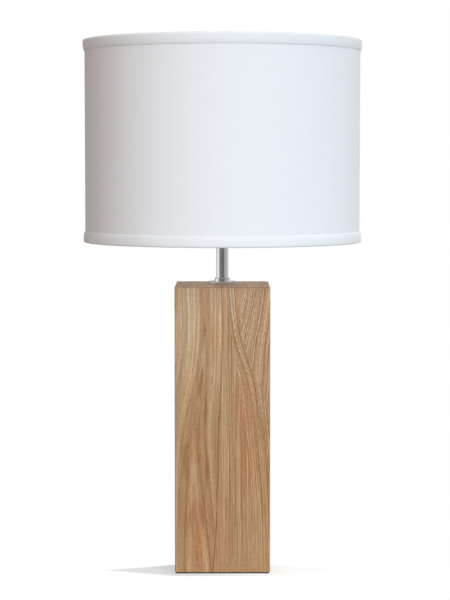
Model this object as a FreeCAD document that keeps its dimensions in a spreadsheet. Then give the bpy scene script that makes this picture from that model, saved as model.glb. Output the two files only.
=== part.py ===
"""Column table lamp: a square veneered column, a short bright stem and a drum shade.

The origin is on the floor under the middle of the column. +Z is up, the front of the
lamp faces -Y, and every size is in millimetres.
"""
import FreeCAD
import Part
import os

import Sketcher
from FreeCAD import Placement, Rotation, Vector

doc = FreeCAD.newDocument("ColumnTableLamp")
sheet = doc.addObject("Spreadsheet::Sheet", "Dimensions")
PIECES = []
CUTS = []
WASTE = 2.0            # how far a cutting outline runs past the wood or metal it removes
LEAST_CUT = 0.01       # cubic millimetres: a cut that removes less has missed its piece
ROOT_3 = 1.7320508     # a hexagon's width across its flats over its corner radius
COLUMN_CORNERS = 4
WIRE_SCREWS = 2
KNOB_FLUTES = 12
FINIAL_FLUTES = 20
SHADE_ARMS = 3


class Size:
    """A size that knows its value in millimetres and the sheet formula that gives it."""

    def __init__(self, value, formula=None):
        self.value = float(value)
        self.formula = formula or f"({self.value!r})"

    def __float__(self):
        return self.value

    def joined(self, sign, other, value):
        return Size(value, f"({self.formula} {sign} {as_size(other).formula})")

    def __add__(self, other):
        return self.joined("+", other, self.value + float(other))

    def __sub__(self, other):
        return self.joined("-", other, self.value - float(other))

    def __mul__(self, other):
        return self.joined("*", other, self.value * float(other))

    def __truediv__(self, other):
        return self.joined("/", other, self.value / float(other))

    def __neg__(self):
        return Size(0) - self


def as_size(number):
    return number if isinstance(number, Size) else Size(number)


def driving(name, value):
    """Add one driving dimension to the sheet and hand it back as a size."""
    driving.rows += 1
    sheet.set(f"A{driving.rows}", name)
    sheet.set(f"B{driving.rows}", str(value))
    sheet.setAlias(f"B{driving.rows}", name)
    return Size(value, f"Dimensions.{name}")


driving.rows = 0

# The whole lamp
total_height = driving("total_height", 723.5)                # floor to the rim of the shade
shade_height = driving("shade_height", 275.0)
shade_radius = driving("shade_radius", 190.5)                # over the trims: a 15 inch drum

# The column
foot_pad_thickness = driving("foot_pad_thickness", 2.0)
foot_pad_inset = driving("foot_pad_inset", 0.8)
column_height = driving("column_height", 388.0)
column_side = driving("column_side", 129.0)
panel_thickness = driving("panel_thickness", 12.0)
eased_edge = driving("eased_edge", 0.8)
bottom_board_thickness = driving("bottom_board_thickness", 22.0)
corner_block_side = driving("corner_block_side", 15.0)
recess_radius = driving("recess_radius", 23.0)
recess_depth = driving("recess_depth", 14.0)
lead_channel_width = driving("lead_channel_width", 8.0)
inlet_height = driving("inlet_height", 12.0)                 # middle of the cord inlet
inlet_bore_radius = driving("inlet_bore_radius", 3.5)
grommet_radius = driving("grommet_radius", 5.5)
grommet_flange_radius = driving("grommet_flange_radius", 7.0)
grommet_flange_thickness = driving("grommet_flange_thickness", 1.5)
grommet_round = driving("grommet_round", 0.5)
wood_screw_spread = driving("wood_screw_spread", 45.0)       # screw axis from the middle
wood_screw_radius = driving("wood_screw_radius", 1.8)
wood_screw_head_radius = driving("wood_screw_head_radius", 4.0)
wood_screw_head_height = driving("wood_screw_head_height", 2.5)
wood_screw_length = driving("wood_screw_length", 32.0)
weight_radius = driving("weight_radius", 50.0)
weight_thickness = driving("weight_thickness", 25.0)
weight_chamfer = driving("weight_chamfer", 2.0)

# The threaded pipe that ties the lamp together, and its nuts and washers
pipe_radius = driving("pipe_radius", 4.85)
pipe_bore_radius = driving("pipe_bore_radius", 3.3)
pipe_hole_radius = driving("pipe_hole_radius", 5.1)
pipe_tail = driving("pipe_tail", 2.0)                        # thread below the bottom nut
lock_nut_flats = driving("lock_nut_flats", 14.0)
lock_nut_thickness = driving("lock_nut_thickness", 5.0)
lock_nut_bevel = driving("lock_nut_bevel", 1.0)
lock_washer_radius = driving("lock_washer_radius", 15.0)
lock_washer_thickness = driving("lock_washer_thickness", 2.0)

# The stem
flange_radius = driving("flange_radius", 20.0)
flange_thickness = driving("flange_thickness", 4.5)
flange_round = driving("flange_round", 1.6)
collar_radius = driving("collar_radius", 10.8)
collar_height = driving("collar_height", 4.5)
collar_round = driving("collar_round", 1.0)
tube_radius = driving("tube_radius", 8.5)
tube_wall = driving("tube_wall", 1.2)
tube_reach_into_shade = driving("tube_reach_into_shade", 20.5)
cap_washer_radius = driving("cap_washer_radius", 10.0)
cap_washer_thickness = driving("cap_washer_thickness", 2.0)
cap_washer_spigot = driving("cap_washer_spigot", 3.0)
cap_washer_round = driving("cap_washer_round", 0.6)

# The lamp holder
saddle_thickness = driving("saddle_thickness", 1.5)
saddle_width = driving("saddle_width", 12.0)
tongue_reach = driving("tongue_reach", 28.5)                 # outer face of a harp tongue
tongue_height = driving("tongue_height", 12.0)
tongue_width = driving("tongue_width", 6.0)
saddle_bend = driving("saddle_bend", 2.0)                    # outside radius of its two bends
cap_boss_radius = driving("cap_boss_radius", 8.5)
cap_boss_height = driving("cap_boss_height", 6.0)
cap_radius = driving("cap_radius", 16.8)
cap_height = driving("cap_height", 17.5)
cap_wall = driving("cap_wall", 0.8)
cap_shoulder = driving("cap_shoulder", 4.0)                  # rise of the sloped shoulder
cap_round = driving("cap_round", 3.0)
shell_wall = driving("shell_wall", 0.5)
shell_height = driving("shell_height", 46.0)
shell_overlap = driving("shell_overlap", 2.0)                # depth of the shell in the cap
shell_lip = driving("shell_lip", 0.8)
liner_wall = driving("liner_wall", 1.0)
switch_block_height = driving("switch_block_height", 19.0)
switch_block_recess = driving("switch_block_recess", 2.0)    # its foot above the shell's edge
switch_block_bevel = driving("switch_block_bevel", 1.0)
switch_block_rim = driving("switch_block_rim", 5.0)          # round part above the flats
switch_block_flat = driving("switch_block_flat", 11.5)       # flats that carry the wire screws
wire_screw_radius = driving("wire_screw_radius", 3.0)
wire_screw_height = driving("wire_screw_height", 2.0)
wire_screw_slot = driving("wire_screw_slot", 0.8)
screw_shell_radius = driving("screw_shell_radius", 13.9)
screw_shell_wall = driving("screw_shell_wall", 0.4)
screw_shell_height = driving("screw_shell_height", 22.0)
centre_contact_radius = driving("centre_contact_radius", 4.0)
centre_contact_height = driving("centre_contact_height", 2.8)
contact_strip = driving("contact_strip", 0.6)                # thickness of the brass strip
contact_foot = driving("contact_foot", 2.0)                  # foot's width round the spring
knob_height_in_cap = driving("knob_height_in_cap", 9.5)      # knob axis above the shell's edge
slot_half_width = driving("slot_half_width", 3.5)
spindle_radius = driving("spindle_radius", 2.0)
spindle_depth = driving("spindle_depth", 6.0)                # spindle's inner end from the middle
spindle_reach = driving("spindle_reach", 26.5)
knob_start = driving("knob_start", 18.5)
knob_length = driving("knob_length", 13.0)
knob_radius = driving("knob_radius", 5.5)
knob_round = driving("knob_round", 1.2)
knob_skirt = driving("knob_skirt", 2.0)
knob_flute_radius = driving("knob_flute_radius", 0.8)
knob_plain_length = driving("knob_plain_length", 3.0)        # unfluted length by the skirt
cap_screw_radius = driving("cap_screw_radius", 1.5)
cap_screw_reach = driving("cap_screw_reach", 9.5)
cap_screw_slot = driving("cap_screw_slot", 0.4)

# The bulb
bulb_length = driving("bulb_length", 110.0)
bulb_radius = driving("bulb_radius", 30.0)
bulb_neck_radius = driving("bulb_neck_radius", 12.2)
bulb_cap_radius = driving("bulb_cap_radius", 13.05)
bulb_cap_wall = driving("bulb_cap_wall", 0.6)
bulb_cap_height = driving("bulb_cap_height", 22.0)
bulb_cap_cone = driving("bulb_cap_cone", 4.0)               # sloped foot of the cap
bulb_cap_cement = driving("bulb_cap_cement", 6.0)            # how far the neck sits in the cap
bulb_glass = driving("bulb_glass", 0.8)
bulb_neck_bend = driving("bulb_neck_bend", 20.0)
bulb_shoulder_bend = driving("bulb_shoulder_bend", 25.0)
bulb_straight = driving("bulb_straight", 6.0)                # between shoulder and dome
insulator_radius = driving("insulator_radius", 9.2)
insulator_lip = driving("insulator_lip", 0.8)
button_radius = driving("button_radius", 4.5)
button_height = driving("button_height", 2.0)
button_round = driving("button_round", 0.5)
play = driving("play", 0.1)                                  # gap of a running or sliding fit

# The harp
harp_height = driving("harp_height", 228.6)                  # a 9 inch harp
harp_width = driving("harp_width", 112.0)
harp_wire_radius = driving("harp_wire_radius", 1.6)
harp_tab_thickness = driving("harp_tab_thickness", 1.5)
harp_neck_height = driving("harp_neck_height", 42.0)         # upright wire above the saddle
harp_shoulder_low = driving("harp_shoulder_low", 102.0)
harp_shoulder_high = driving("harp_shoulder_high", 176.0)
harp_crown_half_width = driving("harp_crown_half_width", 20.0)
harp_neck_bend = driving("harp_neck_bend", 30.0)
harp_low_bend = driving("harp_low_bend", 60.0)
harp_high_bend = driving("harp_high_bend", 45.0)
harp_crown_bend = driving("harp_crown_bend", 14.0)
harp_tab_gap = driving("harp_tab_gap", 1.5)                  # tab's foot above the saddle
harp_tab_weld = driving("harp_tab_weld", 1.0)                # tab's overlap with the wire
sleeve_height = driving("sleeve_height", 12.0)
sleeve_gap = driving("sleeve_gap", 1.0)                      # sleeve's foot above the saddle
sleeve_wall = driving("sleeve_wall", 0.6)
stud_plate_radius = driving("stud_plate_radius", 9.0)
stud_plate_thickness = driving("stud_plate_thickness", 2.0)
stud_radius = driving("stud_radius", 3.1)
stud_height = driving("stud_height", 8.0)
stud_plate_round = driving("stud_plate_round", 0.8)

# The finial
finial_height = driving("finial_height", 16.0)
finial_radius = driving("finial_radius", 7.0)
finial_waist_depth = driving("finial_waist_depth", 1.5)
finial_foot = driving("finial_foot", 3.0)
finial_waist_slope = driving("finial_waist_slope", 2.0)
finial_round = driving("finial_round", 0.8)
finial_dome = driving("finial_dome", 4.5)
finial_flute_radius = driving("finial_flute_radius", 0.6)
finial_flute_offset = driving("finial_flute_offset", 0.2)
finial_insert_radius = driving("finial_insert_radius", 4.6)
finial_insert_height = driving("finial_insert_height", 7.5)

# The shade
trim_height = driving("trim_height", 15.0)
trim_proud = driving("trim_proud", 2.5)
trim_turn_in = driving("trim_turn_in", 7.0)                  # leg inside the rim
trim_leg_thickness = driving("trim_leg_thickness", 0.5)
trim_round = driving("trim_round", 1.2)
trim_inner_round = driving("trim_inner_round", 0.4)
shade_cloth_thickness = driving("shade_cloth_thickness", 0.5)
shade_liner_thickness = driving("shade_liner_thickness", 0.5)
ring_wire_radius = driving("ring_wire_radius", 1.5)
hub_radius = driving("hub_radius", 15.0)
hub_thickness = driving("hub_thickness", 1.5)
hub_clearance = driving("hub_clearance", 0.4)                # hub's hole round the stud
arm_start = driving("arm_start", 8.5)
arm_foot = driving("arm_foot", 19.0)                         # where an arm leaves the hub level
arm_knee = driving("arm_knee", 36.0)                         # where it reaches the ring level
arm_bend = driving("arm_bend", 8.0)
arm_weld = driving("arm_weld", 0.3)                          # how far an arm sinks into the ring

# Levels and faces worked out from the driving dimensions
half_side = column_side / 2
inner_half = half_side - panel_thickness
column_base = foot_pad_thickness
column_top = column_base + column_height
top_board_base = column_top - panel_thickness
board_top = column_base + bottom_board_thickness
recess_ceiling = column_base + recess_depth
bottom_nut_base = recess_ceiling - lock_washer_thickness - lock_nut_thickness
weight_top = board_top + weight_thickness
flange_top = column_top + flange_thickness
collar_top = flange_top + collar_height
shade_bottom = total_height - shade_height
tube_top = shade_bottom + tube_reach_into_shade
saddle_base = tube_top + cap_washer_thickness
saddle_top = saddle_base + saddle_thickness
cap_top = saddle_top + cap_height
shell_base = cap_top - shell_overlap
shell_top = shell_base + shell_height
switch_base = shell_base + switch_block_recess
switch_top = switch_base + switch_block_height
knob_level = shell_base + knob_height_in_cap
liner_radius = cap_radius - cap_wall - shell_wall
switch_block_radius = liner_radius - liner_wall
contact_top = switch_top + centre_contact_height
bulb_base = contact_top + play
bulb_top = bulb_base + bulb_length
harp_crown = saddle_top + harp_height
stud_plate_top = harp_crown + stud_plate_thickness
hub_top = stud_plate_top + hub_thickness
cloth_radius = shade_radius - trim_proud
liner_outer = cloth_radius - shade_cloth_thickness
liner_inner = liner_outer - shade_liner_thickness
ring_radius = liner_inner - ring_wire_radius
cloth_base = shade_bottom + trim_leg_thickness
cloth_top = total_height - trim_leg_thickness
harp_leg = tongue_reach + play / 2


# Helpers that several pieces share

def bind(thing, field, size):
    """Tie one property of an object to the formula of a size."""
    thing.setExpression(field, as_size(size).formula)


def new_body(label):
    piece = doc.addObject("PartDesign::Body", label)
    piece.Label = label
    PIECES.append(piece)
    return piece


def origin_item(piece, role):
    return next(item for item in piece.Origin.OriginFeatures if item.Role == role)


def new_sketch(piece, plane, lift=None):
    """A sketch on one of the body's own planes, moved along the plane's normal."""
    sketch = piece.newObject("Sketcher::SketchObject", f"{piece.Name}_sketch")
    sketch.AttachmentSupport = [(origin_item(piece, plane), "")]
    sketch.MapMode = "FlatFace"
    if lift is not None:
        bind(sketch, "AttachmentOffset.Base.z", lift)
    return sketch


def hold_point(sketch, line, end, point):
    """Fix one end of a line at a point given by two sizes."""
    for kind, size in (("DistanceX", point[0]), ("DistanceY", point[1])):
        rule = Sketcher.Constraint(kind, -1, 1, line, end, float(size))
        number = sketch.addConstraint(rule)
        bind(sketch, f"Constraints[{number}]", size)


def draw_lines(sketch, corners, closed=True):
    """Straight lines through the corners; a corner with a third size is rounded by it."""
    first = sketch.GeometryCount
    ends = corners[1:] + corners[:1] if closed else corners[1:]
    for start, end in zip(corners, ends):
        a = Vector(float(start[0]), float(start[1]), 0)
        b = Vector(float(end[0]), float(end[1]), 0)
        sketch.addGeometry(Part.LineSegment(a, b), False)
    count = len(ends)
    for k in range(count if closed else count - 1):
        after = first + (k + 1) % count
        sketch.addConstraint(Sketcher.Constraint("Coincident", first + k, 2, after, 1))
    for k in range(count):
        hold_point(sketch, first + k, 1, corners[k])
    if not closed:
        hold_point(sketch, first + count - 1, 2, corners[-1])
    round_corners(sketch, corners, first, count)
    return sketch


def round_corners(sketch, corners, first, count):
    for k, corner in enumerate(corners):
        if len(corner) < 3:
            continue
        line_before = first + (k - 1) % count
        arc = sketch.GeometryCount
        sketch.fillet(line_before, 2, float(corner[2]), True, True)
        number = sketch.addConstraint(Sketcher.Constraint("Radius", arc, float(corner[2])))
        bind(sketch, f"Constraints[{number}]", corner[2])


def draw_rectangle(sketch, x0, y0, x1, y1):
    return draw_lines(sketch, [(x0, y0), (x1, y0), (x1, y1), (x0, y1)])


def draw_circle(sketch, x, y, radius):
    middle = Vector(float(x), float(y), 0)
    circle = sketch.addGeometry(Part.Circle(middle, Vector(0, 0, 1), float(radius)), False)
    hold_point(sketch, circle, 3, (x, y))
    number = sketch.addConstraint(Sketcher.Constraint("Radius", circle, float(radius)))
    bind(sketch, f"Constraints[{number}]", radius)
    return sketch


def pad(piece, sketch, length, both_ways=False):
    feature = piece.newObject("PartDesign::Pad", f"{piece.Name}_pad")
    feature.Profile = sketch
    bind(feature, "Length", length)
    if both_ways:
        feature.SideType = "Symmetric"
    return feature


def cut(piece, sketch, depth=None, forward=False):
    """Cut right through both ways, or one depth against or along the sketch's normal."""
    feature = piece.newObject("PartDesign::Pocket", f"{piece.Name}_cut")
    feature.Profile = sketch
    if depth is None:
        feature.Type = "ThroughAll"
        feature.SideType = "Symmetric"
    else:
        feature.Reversed = forward
        bind(feature, "Length", depth)
    CUTS.append(feature)
    return feature


def repeat_round(piece, features, count):
    """Repeat features evenly about the body's upright axis."""
    pattern = piece.newObject("PartDesign::PolarPattern", f"{piece.Name}_pattern")
    pattern.Originals = features
    pattern.Axis = (origin_item(piece, "Z_Axis"), [""])
    pattern.Angle = 360
    pattern.Occurrences = count
    piece.Tip = pattern
    return pattern


def turned(label, corners):
    """A piece turned on a lathe: the outline is (radius, height) about the Z axis."""
    piece = new_body(label)
    sketch = draw_lines(new_sketch(piece, "XZ_Plane"), corners)
    spin = piece.newObject("PartDesign::Revolution", f"{label}_turned")
    spin.Profile = sketch
    spin.ReferenceAxis = (sketch, ["V_Axis"])
    spin.Angle = 360
    return piece


def ring(label, inner, outer, base, top):
    """A washer, tube or plain sleeve."""
    return turned(label, [(inner, base), (outer, base), (outer, top), (inner, top)])


def bend_wire(piece, path_plane, corners, round_plane, start_lift, centre, radius):
    """Sweep a round section along straight runs joined by tangent arcs."""
    path = draw_lines(new_sketch(piece, path_plane), corners, closed=False)
    section = new_sketch(piece, round_plane, start_lift)
    draw_circle(section, centre[0], centre[1], radius)
    sweep = piece.newObject("PartDesign::AdditivePipe", f"{piece.Name}_wire")
    sweep.Profile = section
    sweep.Spine = (path, [])
    return sweep


def lay_along_y(piece, turn, y, level):
    """Lay a piece turned about Z on its side, its outer end towards -Y or +Y."""
    piece.Placement = Placement(Vector(0, float(y), float(level)), Rotation(Vector(1, 0, 0), turn))
    bind(piece, "Placement.Base.y", y)
    bind(piece, "Placement.Base.z", level)


def hex_nut(label, base):
    """A pressed hexagon nut with chamfered corners, run onto the threaded pipe."""
    corner_radius = lock_nut_flats / ROOT_3
    flat_radius = corner_radius - lock_nut_bevel
    edge = lock_nut_bevel / 2
    top = base + lock_nut_thickness
    blank = turned(f"{label}_blank", [
        (pipe_radius, base), (flat_radius, base), (corner_radius, base + edge),
        (corner_radius, top - edge), (flat_radius, top), (pipe_radius, top)])
    PIECES.remove(blank)
    bar = doc.addObject("Part::Prism", f"{label}_bar")
    bar.Polygon = 6
    bind(bar, "Circumradius", corner_radius)
    bind(bar, "Height", lock_nut_thickness)
    bind(bar, "Placement.Base.z", base)
    nut = doc.addObject("Part::Common", label)
    nut.Label = label
    nut.Base = bar
    nut.Tool = blank
    PIECES.append(nut)
    return nut


# The column

def foot_pad():
    """Dark felt glued under the column, a little smaller than the wood."""
    piece = new_body("foot_pad")
    reach = half_side - foot_pad_inset
    sketch = draw_rectangle(new_sketch(piece, "XY_Plane"), -reach, -reach, reach, reach)
    pad(piece, sketch, foot_pad_thickness)


def panel(label, turn, with_inlet=False):
    """One veneered side board, mitred to its neighbours and to the top board."""
    piece = new_body(label)
    profile = new_sketch(piece, "XY_Plane", column_base)
    draw_lines(profile, [
        (eased_edge - half_side, -half_side),
        (half_side - eased_edge, -half_side),
        (half_side - eased_edge / 2, eased_edge / 2 - half_side),
        (inner_half, -inner_half),
        (-inner_half, -inner_half),
        (eased_edge / 2 - half_side, eased_edge / 2 - half_side)])
    pad(piece, profile, column_height)
    mitre = new_sketch(piece, "YZ_Plane")
    draw_lines(mitre, [
        (-half_side - WASTE, column_top - eased_edge - WASTE),
        (eased_edge / 2 - half_side, column_top - eased_edge / 2),
        (-inner_half + WASTE, top_board_base - WASTE),
        (-inner_half + WASTE, column_top + WASTE),
        (-half_side - WASTE, column_top + WASTE)])
    cut(piece, mitre)
    if with_inlet:
        hole = new_sketch(piece, "XZ_Plane")
        draw_circle(hole, Size(0), inlet_height, grommet_radius)
        cut(piece, hole)
    piece.Placement = Placement(Vector(0, 0, 0), Rotation(Vector(0, 0, 1), turn))


def top_board():
    """The lid of the column, mitred all round so that the veneer runs to the arris."""
    piece = new_body("top_board")
    square = new_sketch(piece, "XY_Plane", top_board_base)
    draw_rectangle(square, -half_side, -half_side, half_side, half_side)
    draw_circle(square, Size(0), Size(0), pipe_hole_radius)
    pad(piece, square, panel_thickness)
    for plane in ("XZ_Plane", "YZ_Plane"):
        sketch = new_sketch(piece, plane)
        for side in (-1, 1):
            draw_lines(sketch, [
                ((half_side - eased_edge - WASTE) * side, column_top + WASTE),
                ((half_side - eased_edge / 2) * side, column_top - eased_edge / 2),
                ((inner_half - WASTE) * side, top_board_base - WASTE),
                ((half_side + WASTE) * side, top_board_base - WASTE),
                ((half_side + WASTE) * side, column_top + WASTE)])
        cut(piece, sketch)


def bottom_board():
    """The board that closes the column, with a nut recess and a channel for the lead."""
    piece = new_body("bottom_board")
    square = new_sketch(piece, "XY_Plane", column_base)
    draw_rectangle(square, -inner_half, -inner_half, inner_half, inner_half)
    draw_circle(square, Size(0), Size(0), pipe_hole_radius)
    pad(piece, square, bottom_board_thickness)
    recess = new_sketch(piece, "XY_Plane", column_base)
    draw_circle(recess, Size(0), Size(0), recess_radius)
    cut(piece, recess, recess_depth, forward=True)
    channel = new_sketch(piece, "XY_Plane", column_base)
    half_channel = lead_channel_width / 2
    draw_rectangle(channel, -half_channel, Size(0), half_channel, half_side)
    cut(piece, channel, recess_depth, forward=True)
    bore = new_sketch(piece, "XY_Plane", column_base)
    draw_circle(bore, wood_screw_spread, wood_screw_spread, wood_screw_radius)
    hole = cut(piece, bore)
    counterbore = new_sketch(piece, "XY_Plane", column_base)
    draw_circle(counterbore, wood_screw_spread, wood_screw_spread, wood_screw_head_radius)
    seat = cut(piece, counterbore, wood_screw_head_height, forward=True)
    repeat_round(piece, [hole, seat], COLUMN_CORNERS)


def wood_screws():
    """Four pan-head screws that hold the bottom board to the corner blocks."""
    piece = new_body("bottom_board_screws")
    head = new_sketch(piece, "XY_Plane", column_base)
    draw_circle(head, wood_screw_spread, wood_screw_spread, wood_screw_head_radius)
    cap = pad(piece, head, wood_screw_head_height)
    body = new_sketch(piece, "XY_Plane", column_base)
    draw_circle(body, wood_screw_spread, wood_screw_spread, wood_screw_radius)
    shank = pad(piece, body, wood_screw_length)
    repeat_round(piece, [cap, shank], COLUMN_CORNERS)


def corner_blocks():
    """Four glue blocks up the inside corners of the column."""
    piece = new_body("corner_blocks")
    square = new_sketch(piece, "XY_Plane", board_top)
    near = inner_half - corner_block_side
    draw_rectangle(square, near, near, inner_half, inner_half)
    block = pad(piece, square, top_board_base - board_top)
    pilot = new_sketch(piece, "XY_Plane", board_top)
    draw_circle(pilot, wood_screw_spread, wood_screw_spread, wood_screw_radius)
    depth = column_base + wood_screw_length - board_top
    hole = cut(piece, pilot, depth, forward=True)
    repeat_round(piece, [block, hole], COLUMN_CORNERS)


def base_weight():
    """A cast-iron disc that keeps the lamp from tipping."""
    turned("base_weight", [
        (pipe_hole_radius, board_top), (weight_radius, board_top),
        (weight_radius, weight_top - weight_chamfer), (weight_radius - weight_chamfer, weight_top),
        (pipe_hole_radius, weight_top)])


def pipe_and_nuts():
    """The threaded pipe and the nuts and washers that clamp board and weight on it."""
    ring("lamp_pipe", pipe_bore_radius, pipe_radius,
         bottom_nut_base - pipe_tail, saddle_top + cap_boss_height)
    ring("bottom_washer", pipe_hole_radius, lock_washer_radius,
         recess_ceiling - lock_washer_thickness, recess_ceiling)
    hex_nut("bottom_nut", bottom_nut_base)
    ring("weight_washer", pipe_hole_radius, lock_washer_radius,
         weight_top, weight_top + lock_washer_thickness)
    hex_nut("weight_nut", weight_top + lock_washer_thickness)


def cord_grommet():
    """The flanged bush in the back panel that the supply cord passes through."""
    inner_end = -panel_thickness
    piece = turned("cord_grommet", [
        (inlet_bore_radius, inner_end), (grommet_radius, inner_end),
        (grommet_radius, Size(0)), (grommet_flange_radius, Size(0)),
        (grommet_flange_radius, grommet_flange_thickness, grommet_round),
        (inlet_bore_radius, grommet_flange_thickness)])
    lay_along_y(piece, -90, half_side, inlet_height)


# The stem

def stem():
    """A thick flange on the column, a collar, and the bright tube that stands in it."""
    turned("stem_flange", [
        (pipe_hole_radius, column_top), (flange_radius, column_top),
        (flange_radius, flange_top, flange_round), (pipe_hole_radius, flange_top)])
    turned("stem_collar", [
        (tube_radius, flange_top), (collar_radius, flange_top),
        (collar_radius, collar_top, collar_round), (tube_radius, collar_top)])
    ring("stem_tube", tube_radius - tube_wall, tube_radius, flange_top, tube_top)
    spigot_radius = tube_radius - tube_wall
    turned("stem_top_washer", [
        (pipe_hole_radius, tube_top - cap_washer_spigot),
        (spigot_radius, tube_top - cap_washer_spigot), (spigot_radius, tube_top),
        (cap_washer_radius, tube_top), (cap_washer_radius, saddle_base, cap_washer_round),
        (pipe_hole_radius, saddle_base)])


# The lamp holder

def harp_saddle():
    """The strip clamped under the lamp holder, with two upturned tongues for the harp."""
    piece = new_body("harp_saddle")
    tongue_top = saddle_top + tongue_height
    inner_reach = tongue_reach - saddle_thickness
    inner_bend = saddle_bend - saddle_thickness
    sketch = new_sketch(piece, "XZ_Plane")
    draw_lines(sketch, [
        (-tongue_reach, saddle_base, saddle_bend), (tongue_reach, saddle_base, saddle_bend),
        (tongue_reach, tongue_top), (inner_reach, tongue_top),
        (inner_reach, saddle_top, inner_bend), (-inner_reach, saddle_top, inner_bend),
        (-inner_reach, tongue_top), (-tongue_reach, tongue_top)])
    pad(piece, sketch, saddle_width, both_ways=True)
    shoulders = new_sketch(piece, "YZ_Plane")
    for side in (-1, 1):
        draw_rectangle(shoulders, tongue_width / 2 * side, saddle_top + inner_bend,
                       (saddle_width / 2 + WASTE) * side, tongue_top + WASTE)
    cut(piece, shoulders)
    hole = new_sketch(piece, "XY_Plane")
    draw_circle(hole, Size(0), Size(0), pipe_hole_radius)
    cut(piece, hole)


def socket_cap():
    """The spun metal cap, threaded on the pipe, that the shell snaps into."""
    inside = cap_radius - cap_wall
    floor = saddle_top + cap_boss_height
    shoulder = floor + cap_shoulder
    piece = turned("socket_cap", [
        (pipe_radius, saddle_top), (cap_boss_radius, saddle_top),
        (cap_boss_radius, floor, cap_wall), (cap_radius, shoulder, cap_round),
        (cap_radius, cap_top), (inside, cap_top),
        (inside, shoulder + cap_wall, cap_round - cap_wall),
        (cap_boss_radius - cap_wall, floor + cap_wall), (pipe_radius, floor + cap_wall)])
    hole = new_sketch(piece, "YZ_Plane")
    draw_circle(hole, Size(0), saddle_top + cap_boss_height / 2, cap_screw_radius)
    cut(piece, hole, cap_boss_radius + WASTE)


def cap_set_screw():
    """The small screw in the cap's boss that stops the holder from turning."""
    slot = cap_screw_slot
    piece = new_body("cap_set_screw")
    level = saddle_top + cap_boss_height / 2
    end = new_sketch(piece, "YZ_Plane", -pipe_radius)
    draw_circle(end, Size(0), level, cap_screw_radius)
    shank = pad(piece, end, cap_screw_reach - pipe_radius)
    shank.Reversed = True
    driver = new_sketch(piece, "YZ_Plane", -cap_screw_reach)
    draw_rectangle(driver, -cap_screw_radius, level - slot / 2, cap_screw_radius, level + slot / 2)
    cut(piece, driver, slot * 2, forward=True)


def knob_slot(piece):
    """The notch at the front of the shell and its liner that the spindle drops into."""
    sketch = new_sketch(piece, "XZ_Plane")
    draw_rectangle(sketch, -slot_half_width, shell_base - WASTE,
                   slot_half_width, knob_level + slot_half_width)
    cut(piece, sketch, cap_radius + WASTE, forward=True)


def shell_and_liner():
    """The thin metal shell and the insulating paper liner inside it."""
    lip = shell_lip
    outer = cap_radius - cap_wall
    shell = turned("socket_shell", [
        (liner_radius, shell_base), (outer, shell_base), (outer, shell_top - lip),
        (outer + lip, shell_top), (liner_radius + lip, shell_top), (liner_radius, shell_top - lip)])
    knob_slot(shell)
    liner = ring("socket_liner", switch_block_radius, liner_radius, shell_base, shell_top - lip)
    knob_slot(liner)


def socket_interior():
    """The moulded block that holds the rotary switch and its two wire screws."""
    bevel = switch_block_bevel
    piece = turned("socket_interior", [
        (Size(0), switch_base), (switch_block_radius - bevel, switch_base),
        (switch_block_radius, switch_base + bevel), (switch_block_radius, switch_top),
        (Size(0), switch_top)])
    flats = new_sketch(piece, "XZ_Plane")
    for side in (-1, 1):
        draw_rectangle(flats, switch_block_flat * side, switch_base - WASTE,
                       (switch_block_radius + WASTE) * side, switch_top - switch_block_rim)
    cut(piece, flats)
    bore = new_sketch(piece, "XZ_Plane")
    draw_circle(bore, Size(0), knob_level, spindle_radius + play)
    cut(piece, bore, switch_block_radius + WASTE, forward=True)
    terminals = new_body("terminal_screws")
    head = new_sketch(terminals, "YZ_Plane", switch_block_flat)
    draw_circle(head, Size(0), knob_level, wire_screw_radius)
    slot = new_sketch(terminals, "YZ_Plane", switch_block_flat + wire_screw_height)
    half_slot = wire_screw_slot / 2
    draw_rectangle(slot, -wire_screw_radius, knob_level - half_slot,
                   wire_screw_radius, knob_level + half_slot)
    screw = pad(terminals, head, wire_screw_height)
    repeat_round(terminals, [screw, cut(terminals, slot, wire_screw_height / 2)], WIRE_SCREWS)


def contacts():
    """The threaded shell that takes the bulb, and the sprung contact under it."""
    inner = screw_shell_radius - screw_shell_wall
    ring("screw_shell", inner, screw_shell_radius, switch_top, switch_top + screw_shell_height)
    foot = centre_contact_radius + contact_foot
    turned("centre_contact", [
        (Size(0), switch_top), (foot, switch_top), (foot, switch_top + contact_strip),
        (centre_contact_radius, contact_top - contact_strip),
        (centre_contact_radius - contact_strip, contact_top), (Size(0), contact_top)])


def switch():
    """The rotary switch's spindle and its fluted knob, both turned about one axis."""
    spindle = turned("switch_spindle", [
        (Size(0), spindle_depth), (spindle_radius, spindle_depth),
        (spindle_radius, spindle_reach), (Size(0), spindle_reach)])
    lay_along_y(spindle, 90, Size(0), knob_level)
    end = knob_start + knob_length
    knob = turned("switch_knob", [
        (spindle_radius, knob_start), (knob_radius - knob_round, knob_start),
        (knob_radius, knob_start + knob_skirt), (knob_radius, end, knob_round),
        (Size(0), end), (Size(0), spindle_reach),
        (spindle_radius, spindle_reach)])
    flute = new_sketch(knob, "XY_Plane", end)
    draw_circle(flute, knob_radius + knob_flute_radius / 3, Size(0), knob_flute_radius)
    repeat_round(knob, [cut(knob, flute, knob_length - knob_plain_length)], KNOB_FLUTES)
    lay_along_y(knob, 90, Size(0), knob_level)


# The bulb

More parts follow.
